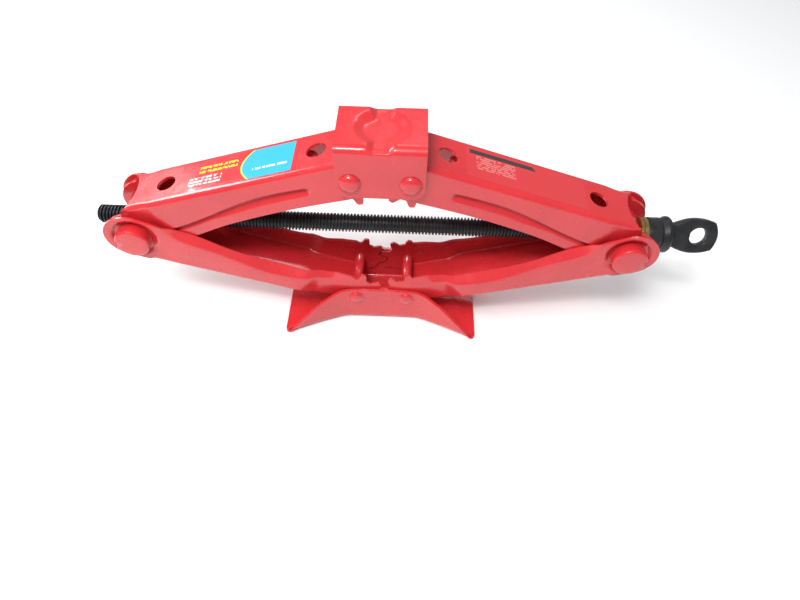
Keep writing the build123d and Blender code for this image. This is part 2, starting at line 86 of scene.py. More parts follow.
arm_line = base_pin - left_trunnion
ARM_LENGTH = float(np.hypot(arm_line[0], arm_line[2]))
COS, SIN = arm_line[0] / ARM_LENGTH, -arm_line[2] / ARM_LENGTH
UPPER_Y = node_box("upper_arm_left")[1][1]
LOWER_Y = node_box("lower_arm_left")[1][1]
SADDLE_LOW, SADDLE_HIGH = node_box("saddle")
BASE_HIGH = node_box("base_plate")[1]
print(f"arm {ARM_LENGTH:.1f} mm from trunnion to pin, leaning {math.degrees(math.asin(SIN)):.1f} degrees")

# %% [markdown]
# ## Camera
# The camera looks steeply down on the jack from the front, a little off square. Its three axes
# are worked out from a yaw, a pitch and a roll, like a tripod head.

# %% Camera
CAMERA_PLACE = (17.55, -325.14, 410.36)
CAMERA_YAW, CAMERA_PITCH, CAMERA_ROLL = 0.45, 51.99, 1.82
CAMERA_LENS, SENSOR_WIDTH = 27.35, 36.0
CLIP_START = 0.01


def camera_axes(yaw, pitch, roll):
    """Right, up and backward directions: turned by yaw, tipped down by pitch, then rolled."""
    yaw, pitch, roll = np.radians([yaw, pitch, roll])
    forward = np.array([-np.sin(yaw) * np.cos(pitch), np.cos(yaw) * np.cos(pitch), -np.sin(pitch)])
    level = np.array([np.cos(yaw), np.sin(yaw), 0])
    upright = np.cross(level, forward)
    right = np.cos(roll) * level + np.sin(roll) * upright
    up = -np.sin(roll) * level + np.cos(roll) * upright
    return right, up, -forward


def add_camera():
    camera = bpy.data.cameras.new("camera")
    camera.lens = CAMERA_LENS
    camera.sensor_width = SENSOR_WIDTH
    camera.clip_start = CLIP_START
    obj = bpy.data.objects.new("camera", camera)
    bpy.context.scene.collection.objects.link(obj)
    axes = camera_axes(CAMERA_YAW, CAMERA_PITCH, CAMERA_ROLL)
    turn = Matrix([list(axis) for axis in axes]).transposed()
    obj.matrix_world = Matrix.Translation(Vector(CAMERA_PLACE) * MM) @ turn.to_4x4()
    bpy.context.scene.camera = obj
    return obj


print("camera at", [round(c, 3) for c in add_camera().location])

# %% [markdown]
# ## Light
# Glossy enamel is drawn by what it mirrors, so the light that brightens it and the light that it
# mirrors are set apart. A wide sheet of light overhead, which mirrors don't see, gives the soft
# even brightness of a white table. Two smaller lamps in front are seen as white dots on domes and
# corners, and a strip and a panel behind draw pale glares on the webs and folds. The surroundings
# stay grey, so that the red stays deep where it mirrors the room.

# %% Lamps
LAMPS = {
    # name: (place in metres, size in metres, power in watts, seen in mirrors)
    "overhead_sheet": ((-0.50, -0.40, 1.50), (1.5, 1.1), 22.5, False),
    "lamp_near": ((-0.24, -0.60, 1.30), (0.36, 0.18), 9.0, True),
    "lamp_far": ((-0.52, -0.36, 1.42), (0.28, 0.08), 2.5, True),
    "window_strip": ((0.20, 0.95, 1.10), (0.60, 0.08), 1.2, True),
    "window_left": ((-0.85, 0.60, 0.70), (0.30, 0.45), 5.0, True),
}
LAMPS_AIM = Vector((0, 0, 0.08))
ROOM_COLOUR, ROOM_STRENGTH = (0.93, 0.96, 1.0, 1), 0.34


def add_lamp(name, place, size, power, mirrored):
    """A rectangular lamp turned towards the jack."""
    lamp = bpy.data.lights.new(name, "AREA")
    lamp.shape = "RECTANGLE"
    lamp.size, lamp.size_y = size
    lamp.energy = power
    obj = bpy.data.objects.new(name, lamp)
    bpy.context.scene.collection.objects.link(obj)
    obj.location = place
    obj.rotation_euler = (LAMPS_AIM - Vector(place)).to_track_quat("-Z", "Y").to_euler()
    obj.visible_glossy = mirrored
    return obj


for name, settings in LAMPS.items():
    add_lamp(name, *settings)
world = bpy.data.worlds.new("room")
world.use_nodes = True
background = world.node_tree.nodes["Background"]
background.inputs["Color"].default_value = ROOM_COLOUR
background.inputs["Strength"].default_value = ROOM_STRENGTH
bpy.context.scene.world = world
bpy.context.scene.view_settings.view_transform = "Standard"
print("lamps:", ", ".join(LAMPS))

# %% [markdown]
# ## Helpers for materials
# A material is a small graph. These helpers add a node, set its values and join its inputs in
# one call, so that each finish below reads as a short list.

# %% Material helpers


def add_node(tree, kind, links=None, **values):
    """A node with its properties set, and its inputs fixed at values or linked to sockets."""
    node = tree.nodes.new(kind)
    for key, value in values.items():
        setattr(node, key, value)
    for key, value in (links or {}).items():
        if isinstance(value, bpy.types.NodeSocket):
            tree.links.new(value, node.inputs[key])
        else:
            node.inputs[key].default_value = value
    return node


def sums(tree, operation, *inputs):
    """A Math node's result."""
    return add_node(tree, "ShaderNodeMath", dict(enumerate(inputs)), operation=operation).outputs[0]


def ramp(tree, factor, low, high, out_low=0.0, out_high=1.0):
    """A smooth rise of factor from low to high, given out between two values."""
    node = add_node(
        tree,
        "ShaderNodeMapRange",
        {"Value": factor, "From Min": low, "From Max": high, "To Min": out_low, "To Max": out_high},
        interpolation_type="SMOOTHSTEP",
    )
    return node.outputs[0]


def blend_colours(tree, factor, first, second):
    """The two colours mixed by factor."""
    node = add_node(tree, "ShaderNodeMix", {"Factor": factor}, data_type="RGBA")
    for name, colour in (("A", first), ("B", second)):
        socket = [s for s in node.inputs if s.name == name and s.type == "RGBA"][0]
        if isinstance(colour, bpy.types.NodeSocket):
            tree.links.new(colour, socket)
        else:
            socket.default_value = (*colour, 1)
    return [s for s in node.outputs if s.type == "RGBA"][0]


print("material helpers ready")

# %% [markdown]
# ## Shared surface effect: coated metal
# Enamel, oxide and turned brass all vary in the same three ways: a fine ripple in the surface,
# a slow change of tone over a few centimetres, and a gloss that comes and goes. It could be
# copied into every material, but one node group with named sockets keeps them alike, and each
# material gives it its own scales.

# %% Node group for coated metal
GROUP_INPUTS = {"Ripple Scale": 300.0, "Tone Scale": 25.0, "Gloss Scale": 90.0, "Speck Size": 0.1}
GROUP_OUTPUTS = ("Ripple", "Tone", "Gloss", "Speck")
NOISE_ROUGHNESS = 0.55
NOISE_DETAIL = {"Ripple": 2.0, "Tone": 4.0, "Gloss": 3.0}


def coated_metal_group():
    """Group: ripple height, tone and gloss from three noises, specks from the middles of cells."""
    group = bpy.data.node_groups.new("coated_metal", "ShaderNodeTree")
    for name, value in GROUP_INPUTS.items():
        socket = group.interface.new_socket(name, in_out="INPUT", socket_type="NodeSocketFloat")
        socket.default_value = value
    for name in GROUP_OUTPUTS:
        group.interface.new_socket(name, in_out="OUTPUT", socket_type="NodeSocketFloat")
    given = group.nodes.new("NodeGroupInput").outputs
    taken = group.nodes.new("NodeGroupOutput").inputs
    place = add_node(group, "ShaderNodeTexCoord").outputs["Object"]

    cells = add_node(group, "ShaderNodeTexVoronoi", {"Vector": place, "Scale": given["Tone Scale"]})
    speck = ramp(group, cells.outputs["Distance"], given["Speck Size"], 0.0)
    for name, detail in NOISE_DETAIL.items():
        scale = given[f"{name} Scale"]
        links = {"Vector": place, "Scale": scale, "Detail": detail, "Roughness": NOISE_ROUGHNESS}
        group.links.new(add_node(group, "ShaderNodeTexNoise", links).outputs["Fac"], taken[name])
    group.links.new(speck, taken["Speck"])
    return group


COATED_METAL = coated_metal_group()
print("group sockets:", [item.name for item in COATED_METAL.interface.items_tree])

# %% [markdown]
# ## Finishes
# The arms, saddle, base, rivets and trunnions are one thick coat of signal red enamel: it pools
# a little darker in places, has the faint ripple called orange peel, and a hard gloss. The screw
# and eye are black oxide, satin with an oily bloom. The washers are turned brass, and the balls
# are bright steel. Each is a Principled shader fed by the group above.

# %% Finishes
TONE_EDGES, GLOSS_EDGES = (0.35, 0.65), (0.3, 0.7)
SPECK_COLOUR, SPECK_HEIGHT = 0.5, 0.6
COAT_ROUGHNESS = 0.05


def coated(name, tones, roughness, ripple, scales, metallic=0.0, coat=0.0):
    """A coated metal: two tones and a speck's, roughness range, ripple in mm, the group's inputs."""
    material = bpy.data.materials.new(name)
    material.use_nodes = True
    tree = material.node_tree
    shader = tree.nodes["Principled BSDF"]
    masks = add_node(tree, "ShaderNodeGroup", node_tree=COATED_METAL)
    for key, value in zip(GROUP_INPUTS, scales):
        masks.inputs[key].default_value = value
    tone = ramp(tree, masks.outputs["Tone"], *TONE_EDGES)
    colour = blend_colours(tree, tone, tones[0], tones[1])
    speck = sums(tree, "MULTIPLY", masks.outputs["Speck"], SPECK_COLOUR)
    colour = blend_colours(tree, speck, colour, tones[2])
    rough = ramp(tree, masks.outputs["Gloss"], *GLOSS_EDGES, *roughness)
    height = sums(tree, "MULTIPLY_ADD", masks.outputs["Speck"], SPECK_HEIGHT, masks.outputs["Ripple"])
    bump = add_node(tree, "ShaderNodeBump", {"Height": height, "Distance": ripple * MM})
    tree.links.new(colour, shader.inputs["Base Color"])
    tree.links.new(rough, shader.inputs["Roughness"])
    tree.links.new(bump.outputs["Normal"], shader.inputs["Normal"])
    shader.inputs["Metallic"].default_value = metallic
    shader.inputs["Coat Weight"].default_value = coat
    shader.inputs["Coat Roughness"].default_value = COAT_ROUGHNESS
    return material


ENAMEL_TONES = ((0.56, 0.022, 0.028), (0.62, 0.026, 0.032), (0.42, 0.014, 0.018))
ENAMEL_SCALES = (240.0, 28.0, 70.0, 0.035)
red_enamel = coated("red_enamel", ENAMEL_TONES, (0.20, 0.32), 0.05, ENAMEL_SCALES, coat=0.45)
OXIDE_TONES = ((0.018, 0.018, 0.020), (0.030, 0.030, 0.033), (0.07, 0.065, 0.06))
OXIDE_SCALES = (700.0, 90.0, 260.0, 0.09)
black_oxide = coated("black_oxide", OXIDE_TONES, (0.32, 0.50), 0.08, OXIDE_SCALES, metallic=0.35)
BRASS_TONES = ((0.42, 0.26, 0.09), (0.55, 0.37, 0.16), (0.20, 0.12, 0.05))
BRASS_SCALES = (1500.0, 160.0, 400.0, 0.12)
turned_brass = coated("turned_brass", BRASS_TONES, (0.22, 0.42), 0.03, BRASS_SCALES, metallic=0.9)
STEEL_TONES = ((0.50, 0.50, 0.52), (0.60, 0.60, 0.62), (0.30, 0.29, 0.28))
STEEL_SCALES = (1500.0, 200.0, 500.0, 0.10)
ball_steel = coated("ball_steel", STEEL_TONES, (0.12, 0.22), 0.01, STEEL_SCALES, metallic=1.0)
print("finishes:", [m.name for m in (red_enamel, black_oxide, turned_brass, ball_steel)])

# %% [markdown]
# ## Helpers for shapes
# All new pieces are surfaces worked out with numpy: a grid of points, given by a formula in two
# parameters. Several grids that share an edge are joined into one mesh by merging the points
# that coincide, which is how a folded sheet becomes one skin. A ramp with rounded ends
# (smoothstep) and a smooth curve through a few points are all that the formulas need.

# %% Curves and ramps


def smooth(value):
    """Rises from 0 to 1 with level ends as value goes from 0 to 1: 3 v squared less 2 v cubed."""
    value = np.clip(value, 0.0, 1.0)
    return value * value * (3 - 2 * value)


def curve(points, x):
    """Natural cubic spline through a few (x, y) points: its bending is nil at both ends."""
    xs, ys = np.array(points, float).T
    x = np.clip(x, xs[0], xs[-1])
    gap, rise = np.diff(xs), np.diff(ys)
    inner = np.arange(1, len(xs) - 1)
    system = np.eye(len(xs))
    system[inner, inner - 1] = gap[:-1]
    system[inner, inner] = 2 * (gap[:-1] + gap[1:])
    system[inner, inner + 1] = gap[1:]
    target = np.zeros(len(xs))
    target[1:-1] = 6 * np.diff(rise / gap)
    bend = np.linalg.solve(system, target)
    k = np.clip(np.searchsorted(xs, x) - 1, 0, len(gap) - 1)
    t = x - xs[k]
    slope = rise[k] / gap[k] - gap[k] * (2 * bend[k] + bend[k + 1]) / 6
    return ys[k] + t * slope + t**2 * bend[k] / 2 + t**3 * (bend[k + 1] - bend[k]) / (6 * gap[k])


def between(first, second, shares):
    """Grid of points from one row of points to another, at the given shares of the way."""
    shares = np.asarray(shares, float).reshape(-1, 1, 1)
    return first[None] * (1 - shares) + second[None] * shares


print("a curve through three points, half way:", round(float(curve([(0, 0), (1, 1), (2, 0)], 1.5)), 3))

# %% [markdown]
# A mesh needs to know which way is out. For a closed piece Blender can tell. An open sheet has
# no inside, so after all its faces are made to agree, the sheet as a whole is compared with a
# direction that is known to be outward, and turned over if it disagrees. Then Solidify can give
# it a thickness on the right side, and Bevel rounds the cut edges, where paint catches light.

# %% From grids to a piece
MERGE_DISTANCE, NO_LENGTH = 1e-6, 1e-7
SHARPER_THAN = 50
EDGE_ROUND = 0.6


def grid_faces(rows, columns):
    """Corner numbers of the quads of a grid whose points are numbered row by row."""
    index = np.arange(rows * columns).reshape(rows, columns)
    corners = (index[:-1, :-1], index[:-1, 1:], index[1:, 1:], index[1:, :-1])
    return np.stack(corners, axis=-1).reshape(-1, 4)


def skin(name, grids, outward=None):
    """One mesh from grids of points in mm, merged where they meet, with its faces outwards."""
    points, faces, count = [], [], 0
    for grid in grids:
        rows, columns = grid.shape[:2]
        faces.append(grid_faces(rows, columns) + count)
        points.append(grid.reshape(-1, 3))
        count += rows * columns
    mesh = bpy.data.meshes.new(name)
    mesh.from_pydata((np.concatenate(points) * MM).tolist(), [], np.concatenate(faces).tolist())
    work = bmesh.new()
    work.from_mesh(mesh)
    bmesh.ops.remove_doubles(work, verts=work.verts, dist=MERGE_DISTANCE)
    bmesh.ops.dissolve_degenerate(work, edges=work.edges, dist=NO_LENGTH)
    bmesh.ops.recalc_face_normals(work, faces=work.faces)
    if outward is not None:
        total = sum((face.normal * face.calc_area() for face in work.faces), Vector())
        if total.dot(Vector(outward)) < 0:
            bmesh.ops.reverse_faces(work, faces=work.faces)
    work.to_mesh(mesh)
    work.free()
    mesh.shade_smooth()
    obj = bpy.data.objects.new(name, mesh)
    bpy.context.scene.collection.objects.link(obj)
    return obj


def give_sheet(obj, sheet, edge=EDGE_ROUND):
    """Thickness inwards, and rounded cut edges."""
    solid = obj.modifiers.new("sheet", "SOLIDIFY")
    solid.thickness = sheet * MM
    solid.offset = -1
    round_edges(obj, edge)


def round_edges(obj, width, segments=2):
    """Rounds the edges where the faces turn by more than a set angle."""
    bevel = obj.modifiers.new("edges", "BEVEL")
    bevel.width = width * MM
    bevel.segments = segments
    bevel.limit_method = "ANGLE"
    bevel.angle_limit = math.radians(SHARPER_THAN)
    bevel.harden_normals = True


def place(obj, body, slot, material, *nodes):
    """The piece rides on a body, stands for some solids, and takes its finish."""
    obj.data.materials.append(material)
    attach(obj, body)
    if nodes:
        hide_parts(*nodes)
    print(f"{obj.name}: {len(obj.data.polygons)} faces, rides on {body}")
    return obj


def turned(profile, start, axis, steps=64):
    """Grid of a turned shape: a profile of (distance along, radius) carried round an axis."""
    profile = np.array(profile, float)
    axis = np.array(axis, float)
    across = np.array([0.0, 0.0, 1.0])
    other = np.cross(axis, across)
    angle = np.linspace(0, 2 * np.pi, steps + 1)
    ring = np.cos(angle)[:, None] * across + np.sin(angle)[:, None] * other
    ring[-1] = ring[0]
    return np.array(start) + profile[:, :1, None] * axis + profile[:, 1:, None] * ring[None]


print("shape helpers ready")

# %% [markdown]
# ## Floor
# A plain white table top, so large that its edges are out of sight.

# %% Floor
FLOOR_REACH, FLOOR_ROUGHNESS = 2500.0, 0.6
FLOOR_TONES = ((0.88, 0.88, 0.88), (0.91, 0.91, 0.905))


def add_floor():
    """A flat square, with a faint cloudiness in its white."""
    across = np.linspace(-FLOOR_REACH, FLOOR_REACH, 9)
    x, y = np.meshgrid(across, across)
    floor = skin("floor", [np.stack([x, y, np.zeros_like(x)], axis=-1)], outward=(0, 0, 1))
    material = bpy.data.materials.new("white_table")
    material.use_nodes = True
    tree = material.node_tree
    shader = tree.nodes["Principled BSDF"]
    where = add_node(tree, "ShaderNodeTexCoord").outputs["Object"]
    cloud = add_node(tree, "ShaderNodeTexNoise", {"Vector": where, "Scale": 3.0, "Detail": 3.0})
    tone = blend_colours(tree, cloud.outputs["Fac"], *FLOOR_TONES)
    tree.links.new(tone, shader.inputs["Base Color"])
    shader.inputs["Roughness"].default_value = FLOOR_ROUGHNESS
    floor.data.materials.append(material)
    return floor


print("floor is", [round(side, 2) for side in add_floor().dimensions], "metres")

# %% [markdown]
# ## Arms
# Each of the four arms is one pressing: a channel with a web, two flanges, a round lug at the
# trunnion, and a few gear teeth at the other end that keep it in step with its twin. It could be
# modelled from a box with many cuts, but a pressing is a skin, so each flange is one grid.
# Its inner rim is a slit: round the trunnion hole, along the arm, round the pin hole and back.
# Its outer rim is the outline. The rows between them pass from one to the other.
# All of this is in the arm's own plane: `u` runs from trunnion to pin, `h` towards the web.

# %% Arm sizes
# Where a name ends in _U it is a distance along the arm from the trunnion, in mm.
ARM_SHEET = {UPPER: 2.0, LOWER: 1.7}
BEND = 3.2
LUG_SHIFT = -2.5
LUG_START = 0.5
LUG_RADIUS = {UPPER: 18.2, LOWER: 19.0}
WEB_AT_LUG, WEB_AT_PIN = 19.0, 10.0
WEB_RISE = {UPPER: 4.0, LOWER: 0.0}
WEB_FALL = math.asin((WEB_AT_LUG - WEB_AT_PIN) / ARM_LENGTH)
WEB_STOP = ARM_LENGTH + 6
WEB_HOLES = (35.5, 150.0)
WEB_HOLE_R = 7.2
NOTCH = {UPPER: (31.0, 11.0), LOWER: (56.0, 16.5)}
JOURNAL_R = 8.95
PIN_R = {UPPER: 5.05, LOWER: 4.05}
ROOT_R, TIP_R = 16.8, 22.6
TOOTH_PITCH = 40.0
FIRST_TOOTH = {LEFT: 13.7, RIGHT: -6.3}
TOOTH_COUNT = {LEFT: 3, RIGHT: 4}
TOOTH_TIP, TOOTH_FOOT = 3.0, 14.0
FREE_EDGE = ((45, -15), (70, -12.4), (100, -11.7), (130, -13), (162, -16))
LUG_OVERLAP, LOWER_DEEPER = 0.2, 1.4
LIP_TURNED, LIP_GROWS = ((0, 1.2), (75, 2.2), (100, 4.0), (125, 3.4), (150, 0.0)), 40


def web_h(u, level):
    """Height of the web's outer face: a straight line that falls towards the pin."""
    return WEB_AT_LUG / math.cos(WEB_FALL) + (LUG_SHIFT - u) * math.tan(WEB_FALL) + WEB_RISE[level]


def free_edge(u, level):
    """Height of the flange's free edge: a shallow arch, and on the lower arms a lip takes some."""
    lug = (LUG_START, LUG_OVERLAP - LUG_RADIUS[level])
    if level == UPPER:
        return curve([lug, *FREE_EDGE], u)
    turned_in = curve(LIP_TURNED, u) * smooth((u - LUG_START) / LIP_GROWS)
    return curve([lug] + [(at, edge - LOWER_DEEPER) for at, edge in FREE_EDGE], u) + turned_in


print(f"web falls {math.degrees(WEB_FALL):.2f} degrees towards the pin")

# %% [markdown]
# The gear end is the root circle with stub teeth added: the radius rises and falls smoothly with
# the angle from each tooth's middle. Where the free edge runs into it, the larger radius wins.

# %% Outline of an arm
GEAR_SWEEP, EDGE_FADE = (60, 175), (106, 12)
FOLD_GROWS = 4
TOP_NEAR_U, TOP_FAR_U, TOP_SPREAD = 20, 158, (36, 130, 35)
LOW_NEAR_U, LOW_FAR_U, LOW_SPREAD = 22, 152, (40, 125, 40)
WEB_END_REACH, GEAR_MEET = 14, 18.0
GEAR_JOIN = 5


def gear_radius(angle, side, level):
    """Radius about the pin at an angle below the arm's line, in degrees: root, teeth, free edge."""
    middles = FIRST_TOOTH[side] + TOOTH_PITCH * np.arange(TOOTH_COUNT[side])
    off = np.abs(angle[:, None] - middles[None]).min(axis=1)
    radius = ROOT_R + (TIP_R - ROOT_R) * smooth((TOOTH_FOOT - off) / (TOOTH_FOOT - TOOTH_TIP))
    turn = np.radians(np.clip(angle, *GEAR_SWEEP))
    edge = np.full_like(angle, ROOT_R)
    for _ in range(4):
        edge = -free_edge(ARM_LENGTH + edge * np.cos(turn), level) / np.sin(turn)
    fade = smooth((angle - EDGE_FADE[0]) / EDGE_FADE[1])
    return np.maximum(radius, ROOT_R + (edge - ROOT_R) * fade)


def bend_radius(u, level):
    """Outer radius of the fold between web and flange: none at the web's two ends."""
    start = smooth((u - notch_corner(level)) / FOLD_GROWS)
    return BEND * start * smooth((WEB_STOP - u) / FOLD_GROWS)


def notch_corner(level):
    """Where the concave end of the web meets the flanges."""
    radius, deepest = NOTCH[level]
    half = (UPPER_Y if level == UPPER else LOWER_Y) - ARM_SHEET[level] - 1
    return deepest - radius + math.sqrt(radius**2 - half**2)


def drawn_out(u, near, far, spread):
    """Stations along the slit, moved smoothly so that they start at near and stop at far."""
    near_length, far_start, far_length = spread
    moved = u + (near - u.min()) * (1 - smooth((u - u.min()) / near_length))
    return moved - (u.max() - far) * smooth((u - far_start) / far_length)


def round_hole(centre, radius, start, end, count):
    """Points on an arc about a place on the arm's line, from one angle to another in degrees."""
    angle = np.radians(np.linspace(start, end, count))
    return np.stack([centre + radius * np.cos(angle), radius * np.sin(angle)], axis=-1)


def arm_outline(side, level):
    """Matching points round the slit and round the outline, and the stations along the web."""
    pin_r, corner = PIN_R[level], notch_corner(level)
    slit = np.linspace(JOURNAL_R, ARM_LENGTH - pin_r, 105)
    near = np.concatenate([np.linspace(LUG_START, corner, 6)[:-1], np.linspace(corner, TOP_NEAR_U, 10)])
    far_end = ARM_LENGTH + WEB_END_REACH
    far = np.concatenate([np.linspace(TOP_FAR_U, WEB_STOP, 11)[:-1], np.linspace(WEB_STOP, far_end, 7)])
    along_top = drawn_out(slit, TOP_NEAR_U, TOP_FAR_U, TOP_SPREAD)
    top_u = np.concatenate([near[:-1], along_top, far[1:]])
    top = np.stack([top_u, web_h(top_u, level) - bend_radius(top_u, level)], axis=-1)
    lug_top = math.sqrt(LUG_RADIUS[level] ** 2 - (LUG_START - LUG_SHIFT) ** 2)
    to_lug = 1 - smooth((top_u - LUG_START) / (corner - LUG_START))
    top[:, 1] -= (web_h(LUG_START, level) - lug_top) * to_lug
    gear_start = -math.degrees(math.atan2(web_h(far_end, level), far_end - ARM_LENGTH))
    meet = math.degrees(math.atan2(-free_edge(ARM_LENGTH - GEAR_MEET, level), -GEAR_MEET))
    gear_angle = np.linspace(gear_start, meet, 130)
    join = smooth((gear_angle - gear_start) / GEAR_JOIN)
    top_r = np.hypot(*(top[-1] - (ARM_LENGTH, 0)))
    radius = top_r * (1 - join) + gear_radius(gear_angle, side, level) * join
    gear_turn = np.radians(gear_angle)
    gear = np.stack([ARM_LENGTH + radius * np.cos(gear_turn), -radius * np.sin(gear_turn)], axis=-1)
    along_low = drawn_out(slit[::-1], LOW_NEAR_U, LOW_FAR_U, LOW_SPREAD)
    low_u = np.concatenate([along_low, np.linspace(LOW_NEAR_U, LUG_START, 13)[1:]])
    low = np.stack([low_u, free_edge(low_u, level)], axis=-1)
    lean = math.degrees(math.acos((LUG_START - LUG_SHIFT) / LUG_RADIUS[level]))
    lug = round_hole(LUG_SHIFT, LUG_RADIUS[level], -lean, lean - 360, 44)
    outer = np.concatenate([top, gear[1:], low[1:], lug[1:-1], top[:1]])
    crest = np.stack([slit, slit_line(slit, level)], axis=-1)
    inner = np.concatenate([
        round_hole(0, JOURNAL_R, 80, 0, len(near))[:-1],
        crest,
        round_hole(ARM_LENGTH, pin_r, 180, -gear_start, len(far))[1:],
        round_hole(ARM_LENGTH, pin_r, -gear_start, -180, len(gear))[1:],
        crest[::-1][1:],
        round_hole(0, JOURNAL_R, 0, -80, 13)[1:],
        round_hole(0, JOURNAL_R, -80, -280, len(lug))[1:-1],
        round_hole(0, JOURNAL_R, 80, 80, 1),
    ])
    on_web = (top_u > corner - MERGE_DISTANCE) & (top_u < WEB_STOP + MERGE_DISTANCE)
    return inner, outer, top_u[on_web]


print("gear teeth:", {word: TOOTH_COUNT[side] for side, word in SIDES.items()}, "root", ROOT_R, "tip", TIP_R)

# %% [markdown]
# The press also leaves relief on the flanges. On an upper arm a long groove runs from near the
# saddle into the stepped-in lug: its upper wall is steep, its lower wall is a wide slope. The
# slit follows the groove's crest, so that the rows crowd where the surface turns fastest. On a
# lower arm the edge leans in as a lip, the lug is dished around the trunnion's head, and the
# gear end steps in to fit between the walls of the base.

# %% Relief of the flanges
CREST = ((5, -4.4), (30, -3.4), (54, -1.3), (78, 2.4), (101, 4.7), (137, 2.4), (168, 0))
GROOVE_LOW = ((20, -13.0), (50, -8.4), (86, -5.6), (113, -5.0), (141, -6.0))
GROOVE_DEPTH, GROOVE_WALL, GROOVE_STOP = 3.4, 1.5, 140.8
LUG_STEP, LUG_STEP_U = 1.2, (17, 27)
LIP_LINE = (
    (18, -17.0), (22, -13.5), (29, -10.4), (47, -8.4), (70, -5.6), (94, -2.2),
    (115, -3.4), (135, -7.5), (165, -9.0),
)
LIP_LEAN = (
    (16, 0.0), (28, 3.5), (60, 3.7), (80, 4.6), (100, 6.2), (118, 6.0),
    (135, 4.2), (150, 2.4), (166, 0.6),
)
LIP_ROUND = 0.004
GROOVE_STOP_BOW, GROOVE_STOP_LENGTH, GROOVE_START_U = (1.6, 7), 3.0, (14, 30)
FLANGE_SWELL, SWELL_H, SWELL_U = 0.4, 12, (20, 35)
STRIP_STEP, STRIP_U = 1.0, (55, 90)
DISH_DEPTH, DISH_FLOOR_R, DISH_RIM_R = 2.8, 13.4, 17.4
NARROWING, NARROW_U = 3.4, (125, 139)
SLIT_END = 12


def rises(value, ends):
    """A smooth rise from 0 to 1 between two values."""
    return smooth((value - ends[0]) / (ends[1] - ends[0]))


def slit_line(u, level):
    """The slit follows the crest of an upper arm's groove, and is straight on a lower arm."""
    ends = smooth((u - JOURNAL_R) / SLIT_END) * smooth((ARM_LENGTH - PIN_R[level] - u) / SLIT_END)
    return curve(CREST, u) * ends if level == UPPER else np.zeros_like(u)


def upper_relief(u, h):
    """Half width of an upper arm: full, less the larger of the lug's step and the groove."""
    below = curve(CREST, u) - h
    width = curve(CREST, u) - curve(GROOVE_LOW, u)
    stop = GROOVE_STOP - (h + GROOVE_STOP_BOW[0]) ** 2 / GROOVE_STOP_BOW[1]
    wall = smooth(below / GROOVE_WALL)
    slope = 1 - smooth((below - GROOVE_WALL) / (width - GROOVE_WALL))
    groove = GROOVE_DEPTH * wall * slope * smooth((stop - u) / GROOVE_STOP_LENGTH)
    groove = groove * rises(u, GROOVE_START_U)
    step = LUG_STEP * (1 - rises(u, LUG_STEP_U))
    strip = STRIP_STEP * wall * (1 - rises(u, STRIP_U))
    return UPPER_Y - np.maximum(np.maximum(groove, step), strip)


def lower_relief(u, h):
    """Half width of a lower arm: full, less the leaning lip, the dish and the narrow gear end."""
    line = curve(LIP_LINE, u)
    rise = (line - h) / np.maximum(line - free_edge(u, LOWER), 1.0)
    rounded = (rise + np.sqrt(rise**2 + LIP_ROUND)) / 2
    lip = curve(LIP_LEAN, u) * rounded
    swell = FLANGE_SWELL * smooth((SWELL_H - h) / SWELL_H) * rises(u, SWELL_U)
    dish = DISH_DEPTH * (1 - rises(np.hypot(u, h), (DISH_FLOOR_R, DISH_RIM_R)))
    narrow = rises(u, NARROW_U)
    return LOWER_Y + swell * (1 - narrow) - np.maximum(dish, lip) - NARROWING * narrow


RELIEF = {UPPER: upper_relief, LOWER: lower_relief}
print("groove", GROOVE_DEPTH, "mm deep; lips lean in", max(lean for _, lean in LIP_LEAN), "mm at most")

# %% [markdown]
# The web is a grid that shares its stations with the flanges' tops, so that web, fold and flange
# weld into one skin. A round hole in a square grid is made by taking out a block of cells and
# filling the gap with rings that pass from the block's square rim to the circle.

# %% Build an arm
FLANGE_ROWS = np.linspace(0, 1, 19) ** 1.25
WEB_ROWS = 17
HOLE_BLOCK = (10.0, 10.5)
HOLE_RINGS = (0, 0.4, 0.75, 1)
NOTCH_REACH = 20
FOLD_TURN = np.radians(np.linspace(0, 90, 6))


def ringed_hole(block, centre):
    """Rings of points from the square rim of a block of grid points to a circle in the web."""
    rim = np.concatenate([block[:-1, 0], block[-1, :-1], block[:0:-1, -1], block[0, ::-1]])
    away = rim[:, :2] - (centre, 0)
    circle_uy = (centre, 0) + WEB_HOLE_R * away / np.linalg.norm(away, axis=1)[:, None]
    circle = np.column_stack([circle_uy, web_h(circle_uy[:, 0], UPPER)])
    return between(rim, circle, HOLE_RINGS)


def web_grids(stations, half, level):
    """The web between its two folds, with its concave end and, on an upper arm, two holes."""
    radius, deepest = NOTCH[level]
    corner = stations[0]
    across = np.linspace(-1, 1, WEB_ROWS)
    y = half[:, None] * across[None]
    chord = math.sqrt(radius**2 - (deepest - radius - corner) ** 2)
    notch = deepest - radius + np.sqrt(radius**2 - (y * chord / half[:, None]) ** 2)
    pull = 1 - smooth((stations - corner) / NOTCH_REACH)
    u = stations[:, None] + (notch - corner) * pull[:, None]
    web = np.stack([u, y, web_h(u, level)], axis=-1)
    if level == LOWER:
        return [web]
    grids, done = [], 0
    rows = np.flatnonzero(np.abs(half.mean() * across) < HOLE_BLOCK[1])
    low, high = rows[0], rows[-1]
    for hole in WEB_HOLES:
        columns = np.flatnonzero(np.abs(stations - hole) < HOLE_BLOCK[0])
        first, last = columns[0], columns[-1]
        grids += [web[done : first + 1], web[first : last + 1, : low + 1], web[first : last + 1, high:]]
        grids.append(ringed_hole(web[first : last + 1, low : high + 1], hole))
        done = last
    return grids + [web[done:]]


